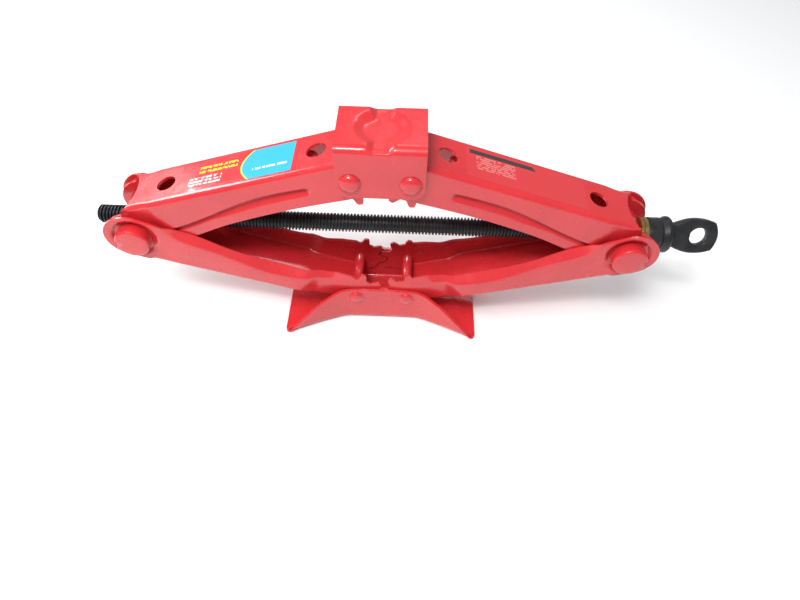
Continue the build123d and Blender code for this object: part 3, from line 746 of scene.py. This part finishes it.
def arm(side, level, name, body):
    """One pressed arm: two flanges, two folds and a web, welded into a skin and given its sheet."""
    inner, outer, stations = arm_outline(side, level)
    relief = RELIEF[level]
    flange = between(inner, outer, FLANGE_ROWS)
    flange = np.stack([flange[..., 0], relief(flange[..., 0], flange[..., 1]), flange[..., 1]], axis=-1)
    fold_r = bend_radius(stations, level)
    top = web_h(stations, level)
    full = relief(stations, top - fold_r)
    fold_y = full - fold_r + fold_r * np.cos(FOLD_TURN)[:, None]
    fold_h = top - fold_r + fold_r * np.sin(FOLD_TURN)[:, None]
    fold = np.stack([np.broadcast_to(stations, fold_y.shape), fold_y, fold_h], axis=-1)
    mirror = np.array([1, -1, 1])
    grids = [flange, flange * mirror, fold, fold * mirror] + web_grids(stations, full - fold_r, level)
    along = np.array([-side * COS, 0, level * SIN])
    outward = np.array([side * SIN, 0, level * COS])
    axes = np.array([along, (0, 1, 0), outward])
    centre = np.array([side * bearing[0], 0, bearing[2]])
    obj = skin(name, [centre + grid @ axes for grid in grids], outward)
    give_sheet(obj, ARM_SHEET[level])
    return place(obj, body, "red_paint", red_enamel, name.replace("pressed_", ""))


for side, word in SIDES.items():
    arm(side, UPPER, f"pressed_upper_arm_{word}", f"upper_{word}_link")
    arm(side, LOWER, f"pressed_lower_arm_{word}", f"lower_{word}_link")

# %% [markdown]
# ## Saddle
# The saddle is a plate folded down at the front and back, with its lower corners rounded about
# the pins. The press has sunk a round seat into its top, and a slot right across it for a car's
# sill seam, which also dips the front and back folds. The seat could be cut out, but pressed
# metal flows, so here it is a height added to the sheet: the depth times the deeper of a round
# ramp and a straight one, and it fades out round the folds.

# %% Saddle
SADDLE_SHEET, SADDLE_FOLD = 3.0, 5.5
SADDLE_CORNER = 9.3
SEAT_DEPTH, SEAT_R, SEAT_FLOOR_R = 3.5, 18.6, 11.8
SLOT_HALF, SLOT_FLOOR_HALF = 8.6, 4.6
PRESS_ROUND, SEAT_MEETS_SLOT, DIP_FLOOR = 0.16, 0.06, 0.0009
SADDLE_EDGE = 0.7
WALL_ROWS, TOP_ROWS = 19, 33


def soft_max(first, second, blend):
    """The larger of two values, rounded where they are nearly equal."""
    return (first + second + np.sqrt((first - second) ** 2 + blend**2)) / 2


def pressed(value):
    """A straight slope from 0 to 1, rounded where it starts and where it stops."""
    return soft_max(value, 0.0, PRESS_ROUND) - soft_max(value - 1, 0.0, PRESS_ROUND)


def saddle_piece():
    """Rows run down the front wall, over its fold, and across the top, and are then mirrored."""
    half_x, half_y = SADDLE_HIGH[0], SADDLE_HIGH[1]
    top, bottom = SADDLE_HIGH[2], SADDLE_LOW[2]
    flat = half_y - SADDLE_FOLD
    turn = np.radians(np.linspace(0, 90, 9))
    climb = 1 - np.cos(np.linspace(0, np.pi / 2, WALL_ROWS + 1))
    wall_z = bottom + (top - SADDLE_FOLD - bottom) * climb
    y = np.concatenate([
        np.full(WALL_ROWS, half_y),
        flat + SADDLE_FOLD * np.cos(turn),
        np.linspace(flat, 0, TOP_ROWS + 1)[1:],
    ])
    fold_z = top - SADDLE_FOLD + SADDLE_FOLD * np.sin(turn)
    z = np.concatenate([wall_z[:-1], fold_z, np.full(TOP_ROWS, top)])
    tipped = np.concatenate([np.zeros(WALL_ROWS), np.sin(turn), np.ones(TOP_ROWS)])
    y = np.concatenate([y, -y[-2::-1]])
    z, tipped = (np.concatenate([part, part[-2::-1]]) for part in (z, tipped))
    low = np.clip(SADDLE_CORNER - (z - bottom), 0, SADDLE_CORNER)
    reach = half_x - (SADDLE_CORNER - np.sqrt(SADDLE_CORNER**2 - low**2))
    x = reach[:, None] * np.linspace(-1, 1, 84)[None]
    y, z, tipped = (np.broadcast_to(part[:, None], x.shape) for part in (y, z, tipped))
    seat = pressed((SEAT_R - np.hypot(x, y)) / (SEAT_R - SEAT_FLOOR_R))
    slot = pressed((SLOT_HALF - np.abs(x)) / (SLOT_HALF - SLOT_FLOOR_HALF))
    dip = np.clip(soft_max(seat, slot, SEAT_MEETS_SLOT) - DIP_FLOOR, 0, 1.0)
    sunk = z - SEAT_DEPTH * dip * tipped**2
    obj = skin("pressed_saddle", [np.stack([x, y, sunk], axis=-1)], (0, 0, 1))
    give_sheet(obj, SADDLE_SHEET, SADDLE_EDGE)
    return place(obj, "saddle_head", "red_paint", red_enamel, "saddle")


saddle_piece()

# %% [markdown]
# ## Base
# The base is a bow-tie of sheet with its long sides folded up. The walls are upright between the
# pins and spread towards the corners, where they run down to nothing. Width and wall height are
# both functions of `x`: a level stretch and a straight slope, joined by a rounded bend. At each
# `x` the section runs down one wall, round a fold, under the floor, and up the other side.

# %% Base
BASE_SHEET, BASE_FOLD, BASE_CORNER, CORNER_START_X = 2.4, 4.5, 4.0, 50
WAIST_X, WAIST_Y, WALL_BEND, WALL_TOP_X, WALL_TIP = 29.5, 23.8, 4.0, 33.6, 3.0
FLATTEST_FOLD = 0.8


def kinked(x, kink, slope, bend):
    """Level, then a straight slope beyond the kink, with a rounded bend between them."""
    past = np.abs(x) - kink
    return slope * (past + np.sqrt(past**2 + bend**2)) / 2


def base_piece():
    """Rows run along the base, and each column runs down a wall, round its fold and underneath."""
    half_x, half_y, top = BASE_HIGH
    x = half_x * np.sin(np.linspace(-1, 1, 121) * math.pi / 2)
    width = WAIST_Y + kinked(x, WAIST_X, (half_y - WAIST_Y) / (half_x - WAIST_X), WALL_BEND)
    height = top - kinked(x, WALL_TOP_X, (top - WALL_TIP) / (half_x - 1 - WALL_TOP_X), 2 * WALL_BEND)
    height = np.maximum(height, WALL_TIP)
    width, height = np.minimum(width, half_y)[:, None], height[:, None]
    fold = np.minimum(BASE_FOLD, FLATTEST_FOLD * height)
    turn = np.radians(np.linspace(0, 90, 8))[None]
    wall_z = fold + (height - fold) * np.linspace(1, 0, 14)[None, :-1]
    y = np.hstack([
        np.broadcast_to(width, wall_z.shape),
        width - fold + fold * np.cos(turn),
        (width - fold) * np.linspace(1, 0, 20)[None, 1:],
    ])
    z = np.hstack([wall_z, fold - fold * np.sin(turn), np.zeros((len(x), 19))])
    y, z = np.hstack([y, -y[:, -2::-1]]), np.hstack([z, z[:, -2::-1]])
    inset = np.clip(BASE_CORNER - (width - np.abs(y)), 0, BASE_CORNER)
    end = half_x - (BASE_CORNER - np.sqrt(BASE_CORNER**2 - inset**2))
    share = np.clip((np.abs(x)[:, None] - CORNER_START_X) / (half_x - CORNER_START_X), 0, 1)
    x = np.sign(x)[:, None] * (np.abs(x)[:, None] - share * (half_x - end))
    obj = skin("pressed_base", [np.stack([x, y, z], axis=-1)], (0, 0, -1))
    give_sheet(obj, BASE_SHEET)
    return place(obj, "base", "red_paint", red_enamel, "base_plate")


base_piece()

# %% [markdown]
# ## Pins
# A riveted pin is a turned shape: a shank, and a head at each end that the rivet set has left
# domed, with a thin skirt pressed flat against the sheet. It could be a cylinder with two scaled
# spheres, but one profile turned about the pin's axis gives the skirt and the dome as one skin.

# %% Riveted pins
DOME_SHARE, SKIRT_EDGE, SKIRT_SHARE = 0.9, 0.7, 0.96


def dome(face, radius, height, skirt):
    """Profile of a rivet head from its rim to its pole: a thin skirt, then a dome."""
    turn = np.radians(np.linspace(8, 90, 12))[:-1]
    out = face + skirt + (height - skirt) * np.sin(turn)
    rim = [(face, radius), (face + skirt * SKIRT_EDGE, radius), (face + skirt, radius * SKIRT_SHARE)]
    return [*rim, *zip(out, radius * DOME_SHARE * np.cos(turn)), (face + height, 0)]


def riveted_pin(name, body, middle, shank_r, head_r, seat, skirt, prouder=0.0):
    """A shank with two domed heads; seat is how far out the heads bear."""
    high = node_box(name)[1][1] + prouder
    head = dome(seat, head_r, high - seat, skirt)
    half = [(seat, shank_r), *head]
    profile = [(-along, radius) for along, radius in half[::-1]] + half
    obj = skin(f"riveted_{name}", [turned(profile, middle, FRONT, 56)])
    return place(obj, body, "red_paint", red_enamel, name)


for side, word in SIDES.items():
    outwards = np.array((side, 1, 1))
    middle = abs(base_pin) * outwards
    riveted_pin(f"base_pin_{word}", "base", middle, 4.0, 5.8, WAIST_Y, 0.6, 1.0)
    middle = abs(saddle_pin) * outwards
    riveted_pin(f"saddle_pin_{word}", "saddle_head", middle, 5.0, 7.4, SADDLE_HIGH[1], 0.9)

# %% [markdown]
# ## Trunnions
# A trunnion is turned as well, with flat heads whose rims are hammered a little out of round.
# Its cross block is bored for the screw, and flattened where the thrust washer bears. Those two
# cuts cross the turned surface, so they are made with a Boolean and kept as the piece's own mesh.

# %% Trunnions
BLOCK_R, BLOCK_Y, BORE_R, THRUST_X = 13.0, 16.5, 6.95, 10.6
HEAD_R, HEAD_BACK_Y, HEAD_EDGE, RIM_ROUND, JOURNAL_GAP = 12.4, 21.9, 0.4, (1.6, 1.8), 0.05
BLOCK_EDGE = 0.6
HEAD_CROWN = ((0.03, 6.0), (0.1, 0))
HAMMERED, HAMMER_BLOWS, HAMMER_TURN, HAMMER_REACH = 0.012, 6, 0.6, 3


def cut_away(obj, cutter):
    """Take a closed cutter out of a piece, and keep the result as the piece's own mesh."""
    boolean = obj.modifiers.new("cut", "BOOLEAN")
    boolean.operation = "DIFFERENCE"
    boolean.solver = "EXACT"
    boolean.object = cutter
    settled = bpy.data.meshes.new_from_object(obj.evaluated_get(bpy.context.evaluated_depsgraph_get()))
    obj.modifiers.clear()
    obj.data = settled
    bpy.data.objects.remove(cutter)


def trunnion_piece(side, name, body):
    """A cross block on two journals with hammered heads, bored for the screw."""
    middle = np.array((side * bearing[0], 0, bearing[2]))
    front = node_box(name)[1][1]
    turn = np.radians(np.linspace(0, 80, 6))
    rim = front - RIM_ROUND[0] + RIM_ROUND[0] * np.sin(turn)
    rim_r = HEAD_R - RIM_ROUND[1] + RIM_ROUND[1] * np.cos(turn)
    journal_r = JOURNAL_R - JOURNAL_GAP
    half = [
        (0, BLOCK_R), (BLOCK_Y - BLOCK_EDGE, BLOCK_R), (BLOCK_Y, BLOCK_R - BLOCK_EDGE),
        (BLOCK_Y, journal_r), (HEAD_BACK_Y, journal_r),
        (HEAD_BACK_Y, HEAD_R - HEAD_EDGE), (HEAD_BACK_Y + HEAD_EDGE, HEAD_R),
        *zip(rim, rim_r), *((front - sunk, radius) for sunk, radius in HEAD_CROWN),
    ]
    profile = [(-along, radius) for along, radius in half[:0:-1]] + half
    grid = turned(profile, middle, FRONT, 72)
    away = grid - middle
    angle = np.arctan2(away[..., 2], away[..., 0])
    blows = 1 + np.cos(HAMMER_BLOWS * angle + HAMMER_TURN)
    hammered = 1 - HAMMERED * blows * smooth((np.abs(away[..., 1]) - HEAD_BACK_Y) / HAMMER_REACH)
    grid = middle + away * np.stack([hammered, np.ones_like(hammered), hammered], axis=-1)
    obj = skin(f"turned_{name}", [grid])
    bore = [(-2 * BLOCK_R, 0), (-2 * BLOCK_R, BORE_R), (2 * BLOCK_R, BORE_R), (2 * BLOCK_R, 0)]
    cut_away(obj, skin("bore", [turned(bore, middle, ALONG, 48)]))
    face = [(0, 0), (0, 2 * BLOCK_Y), (BLOCK_R, 2 * BLOCK_Y), (BLOCK_R, 0)]
    flat = skin("flat", [turned(face, middle + ALONG * side * THRUST_X, ALONG * side, 4)])
    cut_away(obj, flat)
    return place(obj, body, "red_paint", red_enamel, name)


trunnion_piece(LEFT, "nut_trunnion", "nut_block")
trunnion_piece(RIGHT, "bearing_trunnion", "bearing_block")

# %% [markdown]
# ## Lead screw
# The screw has a trapezoidal thread: flat crests and roots with steep flanks. It could be faked
# with bump, but its teeth show against the light, so it is real. Every
# turn of the thread has the same few rows: end of root, start of crest, end of crest, start of
# root. Each row runs once round the bar and climbs one pitch, so it ends where the row one
# pitch further on began, and there the skin is merged.

# %% Lead screw
PITCH, CREST_R, THREAD_ROOT_R, SCREW_END_R, JOURNAL_END_R = 2.5, 6.9, 5.4, 5.0, 6.0
THREAD_PHASES = (0.0, 0.19, 0.56, 0.75)
THREAD_STEPS, THREAD_SHARP = 28, 35
TIP_SLOPE, SHOULDER_SLOPE, SHOULDER_GAP, SCREW_CHAMFER = 1.1, 0.9, 0.2, 0.5


def lead_screw_piece():
    """Rows of the thread climb one pitch per turn; their radius is cut back at both ends."""
    low, high = node_box("lead_screw")
    start, stop = low[0], high[0]
    shoulder = bearing[0] + THRUST_X - SHOULDER_GAP
    turns = np.arange(-1, math.ceil((shoulder - start) / PITCH) + 1)
    phases = np.array(THREAD_PHASES)
    radii = np.array((THREAD_ROOT_R, CREST_R, CREST_R, THREAD_ROOT_R))
    along = (turns[:, None] + phases[None]).reshape(-1, 1)
    radius = np.tile(radii, len(turns))[:, None]
    angle = np.linspace(0, 2 * np.pi, THREAD_STEPS + 1)[None]
    x = np.clip(start + PITCH * (along + angle / (2 * np.pi)), start, shoulder)
    ends = np.minimum(SCREW_END_R + TIP_SLOPE * (x - start), JOURNAL_END_R + SHOULDER_SLOPE * (shoulder - x))
    radius = np.minimum(radius, ends)
    radius[:, -1] = np.minimum(np.tile(radii, len(turns)), ends[:, -1])
    thread = np.stack([x, radius * np.sin(angle), bearing[2] + radius * np.cos(angle)], axis=-1)
    tip = turned([(start, 0), (start, SCREW_END_R)], SCREW_CENTRE, ALONG, THREAD_STEPS)
    end = [
        (shoulder, JOURNAL_END_R), (stop - SCREW_CHAMFER, JOURNAL_END_R),
        (stop, JOURNAL_END_R - SCREW_CHAMFER), (stop, 0),
    ]
    obj = skin("threaded_lead_screw", [thread, tip, turned(end, SCREW_CENTRE, ALONG, THREAD_STEPS)])
    obj.data.set_sharp_from_angle(angle=math.radians(THREAD_SHARP))
    return place(obj, "screw", "black_steel", black_oxide, "lead_screw")


lead_screw_piece()

# %% [markdown]
# ## Thrust bearing and collar
# The wrench pulls the two trunnions together, so the screw's push is taken by a ring of balls
# between two brass washers, behind a black collar. All but the balls are turned rings with small
# rounded edges, and the balls are one small sphere repeated round a circle as whole arrays.

# %% Turned rings and balls
LIP_WALL = 1.0
RING_STEPS, RING_SHARP = 72, 40


def turned_ring(name, inner_r, edge, body, slot, material, waist=0.0, lip=0.0):
    """A ring with rounded edges; it may have a slight waist, or a lip that closes over the balls."""
    low, high = node_box(name)
    start, stop, outer = low[0], high[0], high[1]
    if lip:
        rim, ball_top = outer - LIP_WALL, (stop if lip > 0 else start)
        cup = [(ball_top, inner_r), (ball_top, rim), (ball_top + lip, rim), (ball_top + lip, outer)]
        other = start if lip > 0 else stop
        profile = [*cup, (other, outer), (other, inner_r), cup[0]]
        profile = profile[::-1] if lip < 0 else profile
        obj = skin(f"turned_{name}", [turned(profile, SCREW_CENTRE, ALONG, RING_STEPS)])
        round_edges(obj, edge)
        return place(obj, body, slot, material, name)
    turn = np.linspace(0, np.pi / 2, 5)
    first = [(start + edge - edge * math.cos(a), outer - edge + edge * math.sin(a)) for a in turn]
    last = [(stop - edge + edge * math.sin(a), outer - edge + edge * math.cos(a)) for a in turn]
    middle = [((start + stop) / 2, outer - waist)]
    profile = [(start, inner_r), *first, *middle, *last, (stop, inner_r), (start, inner_r)]
    obj = skin(f"turned_{name}", [turned(profile, SCREW_CENTRE, ALONG, RING_STEPS)])
    obj.data.set_sharp_from_angle(angle=math.radians(RING_SHARP))
    return place(obj, body, slot, material, name)


turned_ring("thrust_washer_inner", 6.05, 0.25, "bearing_block", "brass", turned_brass, lip=1.0)
turned_ring("thrust_washer_outer", 6.0, 0.25, "screw", "brass", turned_brass, lip=-1.0)
turned_ring("thrust_collar", 6.0, 1.0, "screw", "black_steel", black_oxide, 0.15)
BALLS, BALL_CIRCLE_R = 10, 9.3


def balls_piece():
    """One sphere from its two angles, repeated at even steps round a circle."""
    low, high = node_box("thrust_balls")
    ball_r, x = (high[0] - low[0]) / 2, (high[0] + low[0]) / 2
    turn, tilt = np.meshgrid(np.linspace(0, 2 * np.pi, 17), np.linspace(0, np.pi, 10))
    ball = np.stack([np.cos(tilt), np.sin(tilt) * np.cos(turn), np.sin(tilt) * np.sin(turn)], axis=-1)
    around = 2 * np.pi * np.arange(BALLS) / BALLS
    y, z = BALL_CIRCLE_R * np.cos(around), bearing[2] + BALL_CIRCLE_R * np.sin(around)
    centres = np.stack([np.full(BALLS, x), y, z], axis=-1)
    obj = skin("ring_of_balls", list(centres[:, None, None] + ball_r * ball[None]))
    return place(obj, "screw", "bearing_steel", ball_steel, "thrust_balls")


balls_piece()

# %% [markdown]
# ## Drive eye
# The eye is forged: a round shoulder behind the collar, a short neck, and a flat plate with a
# hole for the wrench's hook. The shoulder is turned. The plate is a closed ring of metal: at
# each place round the hole its section is a rounded oblong that reaches from the hole to the
# outline, so the whole plate is one grid, closed both ways.

# %% Drive eye
EYE_TILT, EYE_HALF_THICK, EYE_HOLE_R, EYE_HOLE_X, EYE_TIP_X = 28.0, 3.5, 6.5, 56.2, 70.4
EYE_TIP_R = 20.0
EYE_SECTION = (0.32, 0.42)
EYE_EDGE = ((31.5, 7.6), (36, 8.6), (42, 10.9), (49, 12.8), (56.2, 13.0), (62, 12.2), (67.2, 10.6))
SHOULDER = (
    (26.4, 0), (26.4, 11.4), (26.9, 12.2), (28.2, 12.4), (29.2, 13.2), (30.6, 13.7), (32.2, 13.5),
    (33.4, 12.6), (34.2, 10.4), (35.2, 7.4), (37.0, 4.4), (39.0, 3.2), (39.0, 0),
)


def rounded_square(wave, power):
    """A sine or cosine drawn towards plus and minus one, which squares up a section."""
    return np.sign(wave) * np.abs(wave) ** power


def eye_piece():
    """Round the hole go the outline's points; round each section, from hole to outline and back."""
    profile = np.array(SHOULDER) + (bearing[0], 0)
    shoulder = turned(profile, SCREW_CENTRE, ALONG, RING_STEPS)
    first, last = EYE_EDGE[0], EYE_EDGE[-1]
    x = np.linspace(last[0], first[0], 44)
    sweep = math.asin(last[1] / EYE_TIP_R)
    tip_turn = np.linspace(-sweep, sweep, 19)[1:-1]
    tip_centre = EYE_TIP_X - EYE_TIP_R
    upper = np.stack([x, curve(EYE_EDGE, x)], axis=-1)
    tip_shift = last[0] - (tip_centre + EYE_TIP_R * math.cos(sweep))
    tip_x = tip_centre + tip_shift * np.abs(tip_turn / sweep) + EYE_TIP_R * np.cos(tip_turn)
    tip = np.stack([tip_x, EYE_TIP_R * np.sin(tip_turn)], axis=-1)
    outline = np.concatenate([upper, upper[::-1] * (1, -1), tip, upper[:1]])
    away = outline - (EYE_HOLE_X, 0)
    hole = (EYE_HOLE_X, 0) + EYE_HOLE_R * away / np.linalg.norm(away, axis=1)[:, None]
    turn = np.linspace(0, 2 * np.pi, 29)
    across = (1 - rounded_square(np.cos(turn), EYE_SECTION[0])) / 2
    thick = EYE_HALF_THICK * rounded_square(np.sin(turn), EYE_SECTION[1])
    thick[[0, -1]] = 0
    flat = between(hole, outline, across)
    tilt = math.radians(EYE_TILT)
    up = np.array((0, math.sin(tilt), math.cos(tilt)))
    out = np.array((0, -math.cos(tilt), math.sin(tilt)))
    start = SCREW_CENTRE + ALONG * bearing[0]
    plate = start + flat[..., :1] * ALONG + flat[..., 1:] * up + thick[:, None, None] * out
    obj = skin("forged_drive_eye", [shoulder, plate])
    return place(obj, "screw", "black_steel", black_oxide, "drive_eye")


eye_piece()

# %% [markdown]
# ## Labels
# Each upper arm wears a glossy printed film on its web. The maker's print is left off: the left
# film keeps a blue field with a yellow curved border, and rows of plain dashes stand where there
# would be words. On the right film a plain dark strip along the back edge, towards the saddle end,
# is painted shadow of the saddle, not print. The film is a thin sheet just above the web, and its
# print follows its own UV map, so it stays put when the arm moves.

# %% Labels
FILM, FILM_ENDS, FILM_HALF, FILM_SHEET, FILM_EDGE = 0.12, (46.0, 137.0), 15.2, 0.1, 0.03
FIELD_START, FIELD_END, FIELD_BOW, BORDER = 0.545, 0.965, 0.32, 0.013
# The right film's dark strip (its box, the slant of its end, and the dark colour on the next line) is
# painted shadow of the saddle; blue and yellow are print.
SADDLE_SHADOW_BOX, SADDLE_SHADOW_SLANT = (0.36, 0.97, 0.80, 0.94), 0.2
BLUE, YELLOW, SADDLE_SHADOW_DARK = (0.03, 0.42, 0.60), (0.85, 0.62, 0.02), (0.035, 0.02, 0.02)
DASH_ROW, DASH_BREAK, DASH_SCALE = 0.45, 0.42, 45.0
DASHES = {
    # side: (left, right, low and high of a box, rows, colour, strength)
    LEFT: (
        ((0.17, 0.50, 0.50, 0.80), 2, YELLOW, 1.0),
        ((0.10, 0.38, 0.12, 0.44), 3, (0.80, 0.78, 0.76), 1.0),
        ((0.64, 0.92, 0.22, 0.34), 1, (0.80, 0.86, 0.88), 1.0),
    ),
    RIGHT: (((0.60, 0.92, 0.30, 0.76), 7, (0.80, 0.55, 0.50), 0.35),),
}
FILM_RIPPLE_SCALE, FILM_RIPPLE, FILM_ROUGHNESS, FILM_COAT = 60.0, 0.15, (0.10, 0.22), 1.0


def both(tree, *masks):
    """The product of several masks: where all of them hold."""
    product = masks[0]
    for mask in masks[1:]:
        product = sums(tree, "MULTIPLY", product, mask)
    return product


def inside_box(tree, along, across, box):
    """Mask of a box on the film, given by its two ends and its two sides."""
    left, right, low, high = box
    return both(
        tree,
        sums(tree, "GREATER_THAN", along, left), sums(tree, "LESS_THAN", along, right),
        sums(tree, "GREATER_THAN", across, low), sums(tree, "LESS_THAN", across, high),
    )


def printed_dashes(tree, along, across, box, rows):
    """Mask of plain rows of short dashes inside a box of the film, standing in for print."""
    low, high = box[2:]
    height = (high - low) / rows
    row = sums(tree, "FRACT", sums(tree, "MULTIPLY", sums(tree, "SUBTRACT", across, low), 1 / height))
    place = {"X": along, "Y": sums(tree, "SNAP", across, height)}
    where = add_node(tree, "ShaderNodeCombineXYZ", place).outputs[0]
    breaks = add_node(tree, "ShaderNodeTexNoise", {"Vector": where, "Scale": DASH_SCALE, "Detail": 0.0})
    in_row = sums(tree, "GREATER_THAN", row, DASH_ROW)
    in_dash = sums(tree, "GREATER_THAN", breaks.outputs[0], DASH_BREAK)
    return both(tree, in_row, in_dash, inside_box(tree, along, across, box))


def film_material(name, side):
    """Printed film: the enamel's red showing through, plain printed shapes, and a painted saddle shadow."""
    material = bpy.data.materials.new(name)
    material.use_nodes = True
    tree = material.node_tree
    shader = tree.nodes["Principled BSDF"]
    uv = add_node(tree, "ShaderNodeUVMap").outputs["UV"]
    parts = add_node(tree, "ShaderNodeSeparateXYZ", {"Vector": uv}).outputs
    along, across = parts["X"], parts["Y"]
    off = sums(tree, "SUBTRACT", across, 0.5)
    colour = ENAMEL_TONES[1]
    if side == LEFT:
        bow = sums(tree, "MULTIPLY_ADD", sums(tree, "MULTIPLY", off, off), FIELD_BOW, FIELD_START)
        before_end = sums(tree, "LESS_THAN", along, FIELD_END)
        edge = sums(tree, "SUBTRACT", bow, BORDER)
        for start, paint in ((edge, YELLOW), (bow, BLUE)):
            field = both(tree, sums(tree, "GREATER_THAN", along, start), before_end)
            colour = blend_colours(tree, field, colour, paint)
    else:
        # The dark strip along the back edge towards the saddle end is painted shadow that the saddle casts
        # on the right web.
        start, stop, low, high = SADDLE_SHADOW_BOX
        slant = sums(tree, "MULTIPLY_ADD", off, SADDLE_SHADOW_SLANT, start)
        strip = inside_box(tree, along, across, (slant, stop, low, high))
        colour = blend_colours(tree, strip, colour, SADDLE_SHADOW_DARK)
    for box, rows, paint, strength in DASHES[side]:
        dashes = printed_dashes(tree, along, across, box, rows)
        colour = blend_colours(tree, sums(tree, "MULTIPLY", dashes, strength), colour, paint)
    masks = add_node(tree, "ShaderNodeGroup", node_tree=COATED_METAL)
    masks.inputs["Ripple Scale"].default_value = FILM_RIPPLE_SCALE
    ripple = {"Height": masks.outputs["Ripple"], "Distance": FILM_RIPPLE * MM}
    bump = add_node(tree, "ShaderNodeBump", ripple)
    rough = ramp(tree, masks.outputs["Gloss"], *GLOSS_EDGES, *FILM_ROUGHNESS)
    tree.links.new(colour, shader.inputs["Base Color"])
    tree.links.new(rough, shader.inputs["Roughness"])
    tree.links.new(bump.outputs["Normal"], shader.inputs["Normal"])
    shader.inputs["Coat Weight"].default_value = FILM_COAT
    return material


def film_piece(side, word):
    """A flat strip on the web, with UV from 0 to 1 along it and across it."""
    u = np.linspace(*FILM_ENDS, 41)
    y = np.linspace(-FILM_HALF, FILM_HALF, 15)
    u, y = np.meshgrid(u, y, indexing="ij")
    along = np.array([-side * COS, 0, SIN])
    outward = np.array([side * SIN, 0, COS])
    centre = np.array([side * bearing[0], 0, bearing[2]])
    above = (web_h(u, UPPER) + FILM)[..., None] * outward
    points = centre + u[..., None] * along - y[..., None] * FRONT + above
    obj = skin(f"printed_film_{word}", [points], outward)
    corners = np.empty(len(obj.data.loops), np.int32)
    obj.data.loops.foreach_get("vertex_index", corners)
    places = np.empty(len(obj.data.vertices) * 3, np.float32)
    obj.data.vertices.foreach_get("co", places)
    local = (places.reshape(-1, 3) / MM - centre)[corners]
    share_u = (local @ along - FILM_ENDS[0]) / np.ptp(FILM_ENDS)
    share = np.stack([share_u, local[:, 1] / (2 * FILM_HALF) + 0.5], axis=-1)
    obj.data.uv_layers.new(name="film").data.foreach_set("uv", share.astype(np.float32).ravel())
    give_sheet(obj, FILM_SHEET, FILM_EDGE)
    material = film_material(f"film_{word}", side)
    return place(obj, f"upper_{word}_link", "label_film", material, f"web_label_{word}")


for side, word in SIDES.items():
    film_piece(side, word)
